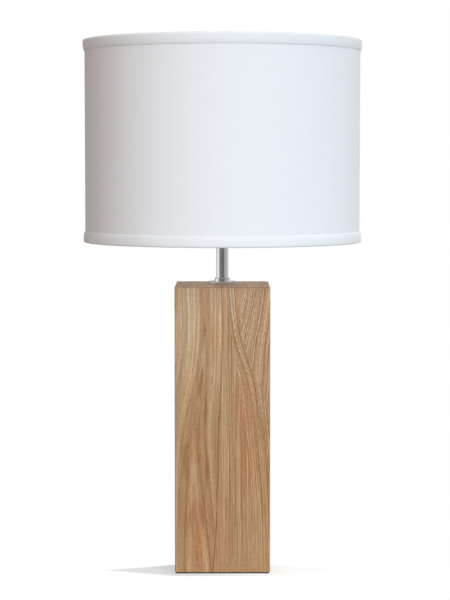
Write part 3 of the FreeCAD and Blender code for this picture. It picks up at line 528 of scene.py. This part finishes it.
def ring_tone(tree, ring, up, side, seed):
    """Broad bands low in the left leaf, narrow lines in the right one, hair lines in both."""
    tone = 0.5
    lower = calc(tree, "MULTIPLY_ADD", fade(tree, up, *BROAD_HEIGHTS), 1 - BROAD_AT_TOP, BROAD_AT_TOP)
    for number, (width, length, left, right) in enumerate(RING_WIDTHS):
        where = join(tree, scaled(tree, ring, width), scaled(tree, up, length), seed + number * 3)
        strength = calc(tree, "MULTIPLY_ADD", side, right - left, left)
        if number == 0:
            strength = calc(tree, "MULTIPLY", strength, lower)
        centred = calc(tree, "SUBTRACT", noise(tree, where, detail=1), 0.5)
        tone = calc(tree, "MULTIPLY_ADD", centred, strength, tone)
    return tone


def light_lines(tree, leaf, up):
    """A few light and dark lines side by side, down the left arm of the V and on."""
    beside = calc(tree, "SUBTRACT", leaf, course(tree, up, LIGHT_LINE))
    ripple = calc(tree, "COSINE", calc(tree, "MULTIPLY", beside, 2 * math.pi / LIGHT_LINE_GAP))
    close = fade(tree, calc(tree, "ABSOLUTE", beside), *LIGHT_LINE_REACH)
    near = calc(tree, "MULTIPLY", close, fade(tree, up, *LIGHT_LINE_HEIGHTS))
    return calc(tree, "MULTIPLY", ripple, near)


def pores(tree, across, up, seed):
    """Short dark dashes along the grain, 1 where there is one."""
    dash = noise(tree, join(tree, scaled(tree, across, PORE[0]), scaled(tree, up, PORE[1]), seed), detail=1)
    return fade(tree, dash, *PORE_LIMITS)


def mark(tree, across, up, middle, reach, lean):
    """A soft leaning oval: 1 in its middle and 0 from its edge on."""
    rise = calc(tree, "SUBTRACT", up, middle[1])
    beside = calc(tree, "MULTIPLY_ADD", rise, -lean, calc(tree, "SUBTRACT", across, middle[0]))
    from_middle = distance(tree, scaled(tree, beside, reach[0]), scaled(tree, rise, reach[1]))
    return fade(tree, from_middle, *MARK_EDGE)


def wood_tone(tree, leaf, up, seed):
    """Rings and fibres together, about 0.5, and how far a point is past the meeting line."""
    ring, side, past = ring_number(tree, leaf, up, seed)
    tone = ring_tone(tree, ring, up, side, seed)
    for number, (wide, tall, amount) in enumerate(FIBRES):
        tone = calc(tree, "ADD", tone, streak(tree, leaf, up, wide, tall, seed + 30 + number, amount))
    return calc(tree, "MULTIPLY_ADD", light_lines(tree, leaf, up), LIGHT_LINE_STRENGTH, tone), past


def darkened_edge(tree, across, up, level, lid):
    """1 in the last millimetre before an edge, where the wood is drawn darker."""
    side = calc(tree, "ABSOLUTE", across)
    if lid:
        outer = calc(tree, "MAXIMUM", side, calc(tree, "ABSOLUTE", up))
        return fade(tree, outer, *(COLUMN_HALF - inset for inset in LID_DARK_BAND))
    beside = fade(tree, side, *(COLUMN_HALF - inset for inset in SIDE_DARK_BAND))
    return calc(tree, "MAXIMUM", beside, fade(tree, level, *(COLUMN_TOP - inset for inset in TOP_DARK_BAND)))


def veneer(name, turn=0, shift=0.0, flip=False, seed=0.0, lid=False, marks=()):
    material, tree, shader = finish(name, Coat_Weight=0.12, Coat_Roughness=0.32)
    if lid:
        _, across, up, level = place(tree)
        leaf = calc(tree, "ADD", across, shift)
    else:
        across, up, leaf, level = face_place(tree, turn, shift, flip)
    tone, past = wood_tone(tree, leaf, up, seed)
    colour = ramp(tree, tone, GRAIN)
    spot = join(tree, scaled(tree, leaf, PATCH[0]), scaled(tree, up, PATCH[1]), seed + 20)
    patch = fade(tree, noise(tree, spot, detail=2), *PATCH_LIMITS)
    colour = mixed(tree, patch, colour, REDDISH, "MULTIPLY")
    frayed = calc(tree, "ADD", up, streak(tree, leaf, up, *MARK_FRAY, seed + 8, MARK_FRAY_AMOUNT))
    for middle, reach, lean, tint in marks:
        colour = mixed(tree, mark(tree, leaf, frayed, middle, reach, lean), colour, tint, "MULTIPLY")
    meeting = fade(tree, calc(tree, "ABSOLUTE", past), *SEAM_HALF)
    colour = mixed(tree, meeting, colour, SEAM_TINT, "MULTIPLY")
    # painted light: the tint changes with height as the light does up the column
    height = ramp(tree, scaled(tree, level, COLUMN_TOP), HEIGHT_LIGHT_TINTS)
    colour = mixed(tree, 1.0, colour, height, "MULTIPLY")
    pore = pores(tree, across, up, seed)
    colour = mixed(tree, pore, colour, PORE_TINT, "MULTIPLY")
    # the wood is drawn darker in the last millimetre before each edge
    colour = mixed(tree, darkened_edge(tree, across, up, level, lid), colour, ARRIS_TINT, "MULTIPLY")
    put(tree, shader.inputs["Base Color"], colour)
    rough = calc(tree, "MULTIPLY_ADD", tone, -LACQUER_FALL, LACQUER_ROUGH)
    put(tree, shader.inputs["Roughness"], rough)
    sunk = calc(tree, "MULTIPLY_ADD", pore, -PORE_DEPTH, tone)
    raise_skin(tree, shader, sunk, VENEER_RELIEF)
    return material


FACES = {
    "front_panel": dict(turn=0, marks=FRONT_MARKS),
    "right_panel": dict(turn=90, shift=21, flip=True, seed=3.1),
    "back_panel": dict(turn=180, shift=-17, seed=5.7),
    "left_panel": dict(turn=-90, shift=9, flip=True, seed=8.3),
    "top_board": dict(lid=True, shift=30, seed=11.9),
}
for panel, facts in FACES.items():
    dress(veneer(panel + "_veneer", **facts), panel)

# %% [markdown]
# ## Raw wood inside
# The closing board under the column and the glue blocks inside it are plain pale pine. They
# are hardly seen, so the wood is one soft stripe pattern along the grain.

# %% Raw wood


def raw_wood():
    material, tree, shader = finish("raw_pine", Roughness=0.75)
    _, x, y, z = place(tree)
    grain = noise(tree, join(tree, scaled(tree, x, 3), scaled(tree, y, 3), scaled(tree, z, 90)), detail=4)
    stripes = ramp(tree, grain, [(0.3, srgb(178, 140, 96)), (0.7, srgb(214, 182, 138))])
    put(tree, shader.inputs["Base Color"], stripes)
    raise_skin(tree, shader, grain, 0.1)
    return material


dress(raw_wood(), "bottom_board", "corner_blocks")

# %% [markdown]
# ## Metals
# Every metal here is the same shader at full metallic. What tells them apart is colour, how
# rough they are, and what hands and tools left on them. Smudges change the roughness in
# soft patches, and tool marks are fine lines in one direction.

# %% Metals


def smudges(tree, point, size, low, high):
    """A roughness that changes softly from place to place."""
    return ramp_value(tree, noise(tree, point, size, detail=4, roughness=0.6), low, high)


def ramp_value(tree, value, low, high):
    """The middle part of a noise value, stretched between two numbers."""
    ranged = add(tree, "ShaderNodeMapRange", {"Value": value})
    for name, number in (("From Min", 0.3), ("From Max", 0.7), ("To Min", low), ("To Max", high)):
        put(tree, ranged.inputs[name], number)
    return ranged.outputs["Result"]


def metal(name, light, dark, low, high, patch=14.0, lines=None, depth=0.01):
    """A metal from two tones, two roughnesses and, if it has tool marks, their spacing."""
    material, tree, shader = finish(name, Metallic=1.0)
    point, x, y, z = place(tree)
    tarnish = noise(tree, point, patch, detail=5, roughness=0.62)
    put(tree, shader.inputs["Base Color"], ramp(tree, tarnish, [(0.35, dark), (0.6, light)]))
    put(tree, shader.inputs["Roughness"], smudges(tree, point, patch / 3, low, high))
    if lines:
        marks = join(tree, scaled(tree, x, lines[0]), scaled(tree, y, lines[1]), scaled(tree, z, lines[2]))
        raise_skin(tree, shader, noise(tree, marks, detail=3), depth)
    return material


polished = metal("polished_chrome", (0.86, 0.86, 0.85), (0.80, 0.80, 0.79), 0.035, 0.09, patch=30)
zinc = metal("zinc_plate", (0.66, 0.67, 0.66), (0.50, 0.51, 0.51), 0.28, 0.42, patch=4,
             lines=(1, 1, 1), depth=0.02)
brass = metal("brass", (0.78, 0.60, 0.28), (0.52, 0.36, 0.14), 0.2, 0.38, patch=5, lines=(2, 2, 0.2))
spun = metal("spun_shell", (0.84, 0.83, 0.80), (0.68, 0.67, 0.64), 0.22, 0.34, patch=9,
             lines=(30, 30, 0.3), depth=0.006)
nickel = metal("nickel_wire", (0.74, 0.72, 0.69), (0.60, 0.58, 0.55), 0.2, 0.33, patch=7,
               lines=(0.5, 0.5, 12), depth=0.006)
iron = metal("cast_iron", (0.16, 0.16, 0.16), (0.07, 0.07, 0.07), 0.55, 0.8, patch=6,
             lines=(1.2, 1.2, 1.2), depth=0.25)

dress(polished, "stem_flange", "stem_collar", "stem_tube", "stem_top_washer", "finial_knob")
dress(zinc, "bottom_board_screws", "lamp_pipe", "bottom_washer", "bottom_nut", "weight_washer",
      "weight_nut", "cap_set_screw")
dress(brass, "terminal_screws", "centre_contact", "switch_spindle", "bulb_contact", "finial_insert")
dress(spun, "socket_cap", "socket_shell")
dress(nickel, "harp_saddle", "harp_wire", "harp_stud", "left_harp_sleeve", "right_harp_sleeve")
dress(iron, "base_weight")

# %% [markdown]
# ## Plastics, paper and paint
# The switch knob and the bush for the cord are moulded plastic with a fine eggshell skin.
# The paper in the lamp holder has fibres. The shade's wires are painted white, and paint
# that has flowed and dried is a little wavy, like orange peel.

# %% Plastics, paper and paint


def speckled(name, light, dark, size, depth, low, high, stretch=(1, 1, 1), **plain):
    """A dull skin: two tones of one colour, its roughness and its relief from one noise."""
    material, tree, shader = finish(name, **plain)
    point, x, y, z = place(tree)
    spots = join(tree, scaled(tree, x, stretch[0]), scaled(tree, y, stretch[1]), scaled(tree, z, stretch[2]))
    grain = noise(tree, spots, size, detail=4, roughness=0.6)
    put(tree, shader.inputs["Base Color"], ramp(tree, grain, [(0.3, dark), (0.7, light)]))
    put(tree, shader.inputs["Roughness"], ramp_value(tree, noise(tree, point, size * 9), low, high))
    raise_skin(tree, shader, grain, depth)
    return material


black = speckled("black_plastic", (0.024, 0.023, 0.022), (0.015, 0.015, 0.015), 0.35, 0.012, 0.3, 0.45)
phenolic = speckled("dark_moulding", (0.04, 0.03, 0.024), (0.02, 0.015, 0.012), 1.2, 0.01, 0.35, 0.5)
paper = speckled("insulating_paper", (0.56, 0.45, 0.30), (0.42, 0.32, 0.20), 1.0, 0.05, 0.8, 0.95,
                 stretch=(0.4, 0.4, 4))
paint = speckled("white_paint", (0.84, 0.84, 0.82), (0.78, 0.78, 0.75), 1.1, 0.03, 0.3, 0.42,
                 Coat_Weight=0.2)
dark_glass = speckled("black_glass", (0.02, 0.02, 0.03), (0.012, 0.012, 0.016), 2.0, 0.02, 0.06, 0.15)

dress(black, "switch_knob", "cord_grommet")
dress(phenolic, "socket_interior")
dress(paper, "socket_liner")
dress(paint, "spider_hub", "spider_arms", "top_ring", "bottom_ring")
dress(dark_glass, "bulb_insulator")

# %% [markdown]
# ## The bulb's glass
# A household bulb is clear glass with a white powder inside, so from outside it is a bright
# dull white under a smooth skin. A diffuse base with a clear coat gives that, and a small
# share of light passes through.

# %% Frosted glass


def frosted_glass():
    material, tree, shader = finish("frosted_glass", Coat_Weight=0.8, Coat_Roughness=0.06,
                                    Transmission_Weight=0.1, Roughness=0.6, IOR=1.5)
    point = place(tree)[0]
    powder = noise(tree, point, 6, detail=5, roughness=0.65)
    white = ramp(tree, powder, [(0.3, srgb(236, 236, 232)), (0.7, srgb(248, 248, 245))])
    put(tree, shader.inputs["Base Color"], white)
    raise_skin(tree, shader, noise(tree, point, 25), 0.15)
    return material


dress(frosted_glass(), "bulb_globe")

# %% [markdown]
# ## The shade's liner
# Inside the cloth is a sheet of white styrene, rolled into a drum. It is stiff, a little
# glossy, and lets light through. Its finish is nearly plain, so the slight waves of the
# sheet matter more than its colour.

# %% Styrene liner


def styrene():
    material, tree, shader = finish("white_styrene", Roughness=0.42, Subsurface_Weight=0.12,
                                    Subsurface_Radius=(0.004, 0.004, 0.004))
    point = place(tree)[0]
    cloud = noise(tree, point, 40, detail=3)
    white = ramp(tree, cloud, [(0.3, srgb(232, 230, 224)), (0.7, srgb(243, 242, 238))])
    put(tree, shader.inputs["Base Color"], white)
    raise_skin(tree, shader, cloud, 0.15)
    return material


dress(styrene(), "shade_liner")

# %% [markdown]
# ## Woven cloth
# The shade is covered in a plain weave: threads run round the drum and up it, over and
# under each other. The pattern follows the drum, so places on it are counted in threads
# round and threads up. Each thread bulges in its middle, and the two sets take turns on
# top like a chessboard. Real yarn is uneven, so long soft streaks lie along both ways.

# %% Woven cloth
CLOTH_RADIUS = 188.0
THREAD = 0.62
CLOTH_LIGHT, CLOTH_DARK = srgb(242, 244, 247), srgb(234, 236, 239)
CLOTH_RELIEF, SLUB_RELIEF = 0.045, 0.4
SLUB_LONG, SLUB_WIDE = 34, 0.8
ROUND_SLUBS, UPRIGHT_FAINTER = 0.6, 2.5
WEAVE_TONE, SLUB_TONE, TONE_START = 0.25, 1.2, -0.25


def round_place(tree):
    """Millimetres round the drum and up it."""
    _, x, y, z = place(tree)
    return calc(tree, "MULTIPLY", calc(tree, "ARCTAN2", y, x), CLOTH_RADIUS), z


def threads(tree, along, across):
    """The height of one set of threads, which dips under every second crossing thread."""
    ridge = calc(tree, "ABSOLUTE", calc(tree, "SINE", calc(tree, "MULTIPLY", across, math.pi / THREAD)))
    row = calc(tree, "FLOOR", scaled(tree, across, THREAD))
    phase = calc(tree, "ADD", scaled(tree, along, THREAD), row)
    over = calc(tree, "MULTIPLY_ADD", calc(tree, "SINE", calc(tree, "MULTIPLY", phase, math.pi)), 0.5, 0.5)
    return calc(tree, "MULTIPLY", ridge, over)


def streaks(tree, along, across):
    """Long soft slubs in the yarn."""
    return noise(tree, join(tree, scaled(tree, along, SLUB_LONG), scaled(tree, across, SLUB_WIDE)), detail=3)


def cloth(name):
    material, tree, shader = finish(name, Sheen_Weight=0.12, Sheen_Roughness=0.5, Roughness=0.85,
                                    Specular_IOR_Level=0.2)
    around, up = round_place(tree)
    upright = threads(tree, up, calc(tree, "ADD", around, THREAD / 2))
    weave = calc(tree, "MAXIMUM", threads(tree, around, up), upright)
    upright_slubs = scaled(tree, streaks(tree, up, around), UPRIGHT_FAINTER)
    slubs = calc(tree, "MULTIPLY_ADD", streaks(tree, around, up), ROUND_SLUBS, upright_slubs)
    uneven = calc(tree, "MULTIPLY_ADD", slubs, SLUB_TONE, TONE_START)
    tone = calc(tree, "MULTIPLY_ADD", weave, WEAVE_TONE, uneven)
    put(tree, shader.inputs["Base Color"], ramp(tree, tone, [(0.2, CLOTH_DARK), (0.8, CLOTH_LIGHT)]))
    raise_skin(tree, shader, calc(tree, "MULTIPLY_ADD", slubs, SLUB_RELIEF, weave), CLOTH_RELIEF)
    return material


drum_cloth = cloth("drum_cloth")
tape_cloth = cloth("tape_cloth")

# %% [markdown]
# ## Making a skin from rows of points
# Cloth, tape, screw threads and felt all have a skin that goes round. Each is made from
# rows of points, one row above the other, with a face between every four neighbours. One
# helper does that for all of them, so each piece only has to say where its points are.

# %% Skin from rows


def skin(name, rows, material, body, closed_round=True, closed_over=False, thick=0.0):
    """A smooth mesh through rows of points; thick gives it a wall, in millimetres."""
    wide, tall = len(rows[0]), len(rows)
    points = [Vector(point) * mm for row in rows for point in row]
    faces = []
    for r in range(tall if closed_over else tall - 1):
        above = (r + 1) % tall
        for c in range(wide if closed_round else wide - 1):
            after = (c + 1) % wide
            faces.append((r * wide + c, r * wide + after, above * wide + after, above * wide + c))
    mesh = bpy.data.meshes.new(name)
    mesh.from_pydata(points, [], faces)
    mesh.polygons.foreach_set("use_smooth", [True] * len(faces))
    mesh.materials.append(material)
    piece = bpy.data.objects.new(name, mesh)
    bpy.context.scene.collection.objects.link(piece)
    if thick:
        wall = piece.modifiers.new("wall", "SOLIDIFY")
        wall.thickness = thick * mm
        wall.offset = -1.0
    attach(piece, body)
    print(name, "has", len(points), "points")
    return piece


def polar(radius, angle, level):
    return radius * math.cos(angle), radius * math.sin(angle), level


def wave(angle, seed, counts=(3, 7, 11, 19)):
    """A slow uneven ripple round the drum, from -1 to 1, the same every time."""
    return sum(math.sin(angle * n + seed * n * 1.7) / len(counts) for n in counts)


# %% [markdown]
# ## The drum's cloth
# The cloth is one strip, glued round the liner. Its ends lap by a centimetre at the back,
# where the upper end climbs over the lower one. Hand-laid cloth isn't a perfect cylinder,
# so its radius wanders by a few hundredths of a millimetre.

# %% Drum cloth
low_corner, high_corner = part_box("shade_fabric")
cloth_low, cloth_high = low_corner[2] / mm, high_corner[2] / mm
CLOTH_THICK = 0.5
LAP = 10.0
CLIMB_START = 2.2  # laps before its end, where the strip starts to climb
WANDER = 0.06
SEAM_ANGLE = math.radians(97)
ROUND_STEPS = 360
LEVEL_STEPS = 48


def lap_climb(share):
    """0 while the strip lies on the liner, 1 where its last end lies on its first."""
    start = 1 - CLIMB_START * LAP / (2 * math.pi * CLOTH_RADIUS)
    x = min(max((share - start) / (1 - start) * CLIMB_START, 0), 1)
    return x * x * (3 - 2 * x)


def drum_cloth_rows():
    turn = 2 * math.pi + LAP / CLOTH_RADIUS
    rows = []
    for j in range(LEVEL_STEPS + 1):
        level = cloth_low + (cloth_high - cloth_low) * j / LEVEL_STEPS
        row = []
        for k in range(ROUND_STEPS + 1):
            share = k / ROUND_STEPS
            angle = SEAM_ANGLE + turn * share
            radius = CLOTH_RADIUS + WANDER * wave(angle, 1) * math.sin(math.pi * j / LEVEL_STEPS)
            row.append(polar(radius + CLOTH_THICK * lap_climb(share), angle, level))
        rows.append(row)
    return rows


drum = skin("drum_cloth", drum_cloth_rows(), drum_cloth, "shade",
            closed_round=False, thick=CLOTH_THICK)
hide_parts("shade_fabric")

# %% [markdown]
# ## The trims
# Each rim is bound in a tape of the same cloth, folded over the wire ring. Outside it is
# 15 mm tall and padded by its own turned-under hem. It swells slowly from the hem's edge and
# is round at the rim. Inside it is a single layer, 7 mm deep. The outline below is that
# section, as radius and distance from the rim, and both trims are swept from it.

# %% Trims
rim_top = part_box("top_trim")[1][2] / mm
rim_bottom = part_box("bottom_trim")[0][2] / mm
TAPE = [(188.05, 14.8), (188.4, 15.0), (188.8, 14.7), (189.2, 13.7), (189.6, 12.2), (190.0, 10.4),
        (190.25, 8.5), (190.35, 6.0), (190.4, 4.0), (190.4, 2.2), (190.2, 1.1), (189.6, 0.35),
        (188.6, 0.02), (186.6, 0.0), (184.8, 0.05), (184.0, 0.3), (183.6, 0.9), (183.5, 2.0),
        (183.55, 4.5), (183.5, 6.6), (183.75, 7.0), (184.0, 6.6), (184.0, 1.6), (184.3, 0.7),
        (185.5, 0.5), (187.6, 0.5), (188.05, 1.2)]
TAPE_STEPS = 288
TAPE_LAP, TAPE_LAP_REACH = 0.35, 0.022
TAPE_SWELL, TAPE_HEM, HEM_REACH = 0.07, 0.18, 10


def tape_rows(rim, inward, seed):
    """Sections of the tape one after another round the drum."""
    rows = []
    for radius, reach in TAPE:
        row = []
        for k in range(TAPE_STEPS):
            angle = 2 * math.pi * k / TAPE_STEPS
            outside = radius > CLOTH_RADIUS
            lap = TAPE_LAP * math.exp(-((angle - SEAM_ANGLE) / TAPE_LAP_REACH) ** 6) if outside else 0
            swell = TAPE_SWELL * wave(angle, seed, (5, 13, 23, 41)) if outside else 0
            hem = TAPE_HEM * wave(angle, seed + 3, (4, 9, 17, 31)) * min(reach / HEM_REACH, 1)
            row.append(polar(radius + lap + swell, angle, rim + inward * (reach + hem)))
        rows.append(row)
    return rows


for name, rim, inward, seed in (("top_tape", rim_top, -1, 2), ("bottom_tape", rim_bottom, 1, 5)):
    rows = tape_rows(rim, inward, seed)
    rows = rows if inward > 0 else rows[::-1]
    skin(name, rows, tape_cloth, "shade", closed_over=True)
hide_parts("top_trim")
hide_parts("bottom_trim")

# %% [markdown]
# ## Rolled threads
# The bulb's cap and the shell it screws into are thin metal with a rolled round thread, one
# turn every 3.63 mm. A thread is the same curve all along if height and turn go together:
# a turn to the left raises it by one pitch, so the radius depends on height less turn.

# %% Screw cap and screw shell
PITCH = 25.4 / 7
THREAD_STEPS = 96
LEVEL_STEP = 0.33
THREAD_FADE = 1.2
# a thread's mean radius and how far it swings, then the plain lengths beside it
CAP_THREAD, CAP_FOOT_PLAIN, CAP_RIM_PLAIN = (12.5, 0.5), 3.4, 3.2
SHELL_THREAD, SHELL_PLAIN = (13.5, 0.35), 1.5
CAP_RADIUS, SHELL_RADIUS = 13.05, 13.85
CAP_FOOT_RADIUS, CAP_FOOT_HEIGHT, CAP_FOOT_CURVE = 9.2, 4.0, 0.7


def thread_rows(outline, bottom, top, mean, swing_out, thread_low, thread_high):
    """Rows from bottom to top: a plain outline outside the thread, a helix within it."""
    count = round((top - bottom) / LEVEL_STEP)
    rows = []
    for j in range(count + 1):
        level = bottom + (top - bottom) * j / count
        inside = min(level - thread_low, thread_high - level) / THREAD_FADE
        share = min(max(inside, 0), 1)
        row = []
        for k in range(THREAD_STEPS):
            angle = 2 * math.pi * k / THREAD_STEPS
            helix = mean + swing_out * math.cos(2 * math.pi * level / PITCH - angle)
            row.append(polar(outline(level) * (1 - share) + helix * share, angle, level))
        rows.append(row)
    return rows


cap_low, cap_high = (corner[2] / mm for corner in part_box("bulb_cap"))
shell_low, shell_high = (corner[2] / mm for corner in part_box("screw_shell"))


def cap_outline(level):
    """The cap's foot slopes out to the thread; past the foot the radius stays the same."""
    foot = min((level - cap_low) / CAP_FOOT_HEIGHT, 1)
    return CAP_FOOT_RADIUS + (CAP_RADIUS - CAP_FOOT_RADIUS) * foot ** CAP_FOOT_CURVE


def plain_shell(level):
    """The shell's ends are a plain tube, so the radius is the same at every level."""
    return SHELL_RADIUS


cap_rows = thread_rows(cap_outline, cap_low, cap_high, *CAP_THREAD,
                       cap_low + CAP_FOOT_PLAIN, cap_high - CAP_RIM_PLAIN)
screw_cap = skin("bulb_screw_cap", cap_rows, spun, "bulb", thick=0.35)
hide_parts("bulb_cap")
shell_rows = thread_rows(plain_shell, shell_low, shell_high, *SHELL_THREAD,
                         shell_low + SHELL_PLAIN, shell_high - SHELL_PLAIN)
holder_shell = skin("holder_screw_shell", shell_rows, spun, "base", thick=0.3)
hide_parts("screw_shell")

# %% [markdown]
# ## The felt foot
# A square of dark felt under the column keeps it from scratching the table. Only its edge
# is seen. Felt is matted fibre, so the edge is soft and uneven rather than a cut line: a
# rounded slab whose sides go in and out by a tenth of a millimetre.

# %% Felt foot
felt_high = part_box("foot_pad")[1]
FELT_SIDE_STEPS = 40
FELT_THICK = 2.0
FELT_FUZZ = 0.12
FELT_INSETS = (40.0, 20.0, 6.0)
FELT_EDGE = [(0.9, 0.0), (0.35, 0.05), (0.0, 0.5), (0.0, 1.0), (0.0, 1.5), (0.3, 1.95), (0.9, 2.0)]


def felt_material():
    material, tree, shader = finish("dark_felt", Roughness=0.95, Sheen_Weight=0.3, Sheen_Roughness=0.6,
                                    Specular_IOR_Level=0.1)
    point = place(tree)[0]
    fibre = noise(tree, point, 0.5, detail=6, roughness=0.7)
    dark = ramp(tree, fibre, [(0.3, srgb(30, 27, 24)), (0.7, srgb(62, 55, 47))])
    put(tree, shader.inputs["Base Color"], dark)
    raise_skin(tree, shader, fibre, 0.2)
    return material


def square_point(k, half):
    """Point k of a square's outline, going round from one corner."""
    side, step = divmod(k, FELT_SIDE_STEPS)
    a = -half + 2 * half * step / FELT_SIDE_STEPS
    return ((a, -half), (half, a), (-a, half), (-half, -a))[side]


def felt_pad():
    half = felt_high[0] / mm
    rows = []
    for shrink in FELT_INSETS:
        rows.append([(*square_point(k, half - shrink), 0.0) for k in range(4 * FELT_SIDE_STEPS)])
    for inset, level in FELT_EDGE:
        row = []
        for k in range(4 * FELT_SIDE_STEPS):
            fuzz = FELT_FUZZ * math.sin(k * 2.3 + level * 5) * math.sin(k * 0.71 + 1)
            row.append((*square_point(k, half - inset - abs(fuzz)), level))
        rows.append(row)
    for shrink in FELT_INSETS[::-1]:
        rows.append([(*square_point(k, half - shrink), FELT_THICK) for k in range(4 * FELT_SIDE_STEPS)])
    pad = skin("felt_foot", rows, felt_material(), "base")
    shape = bmesh.new()
    shape.from_mesh(pad.data)
    bmesh.ops.holes_fill(shape, edges=[edge for edge in shape.edges if edge.is_boundary], sides=0)
    bmesh.ops.recalc_face_normals(shape, faces=shape.faces)
    shape.to_mesh(pad.data)
    shape.free()
    return pad


felt = felt_pad()
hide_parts("foot_pad")
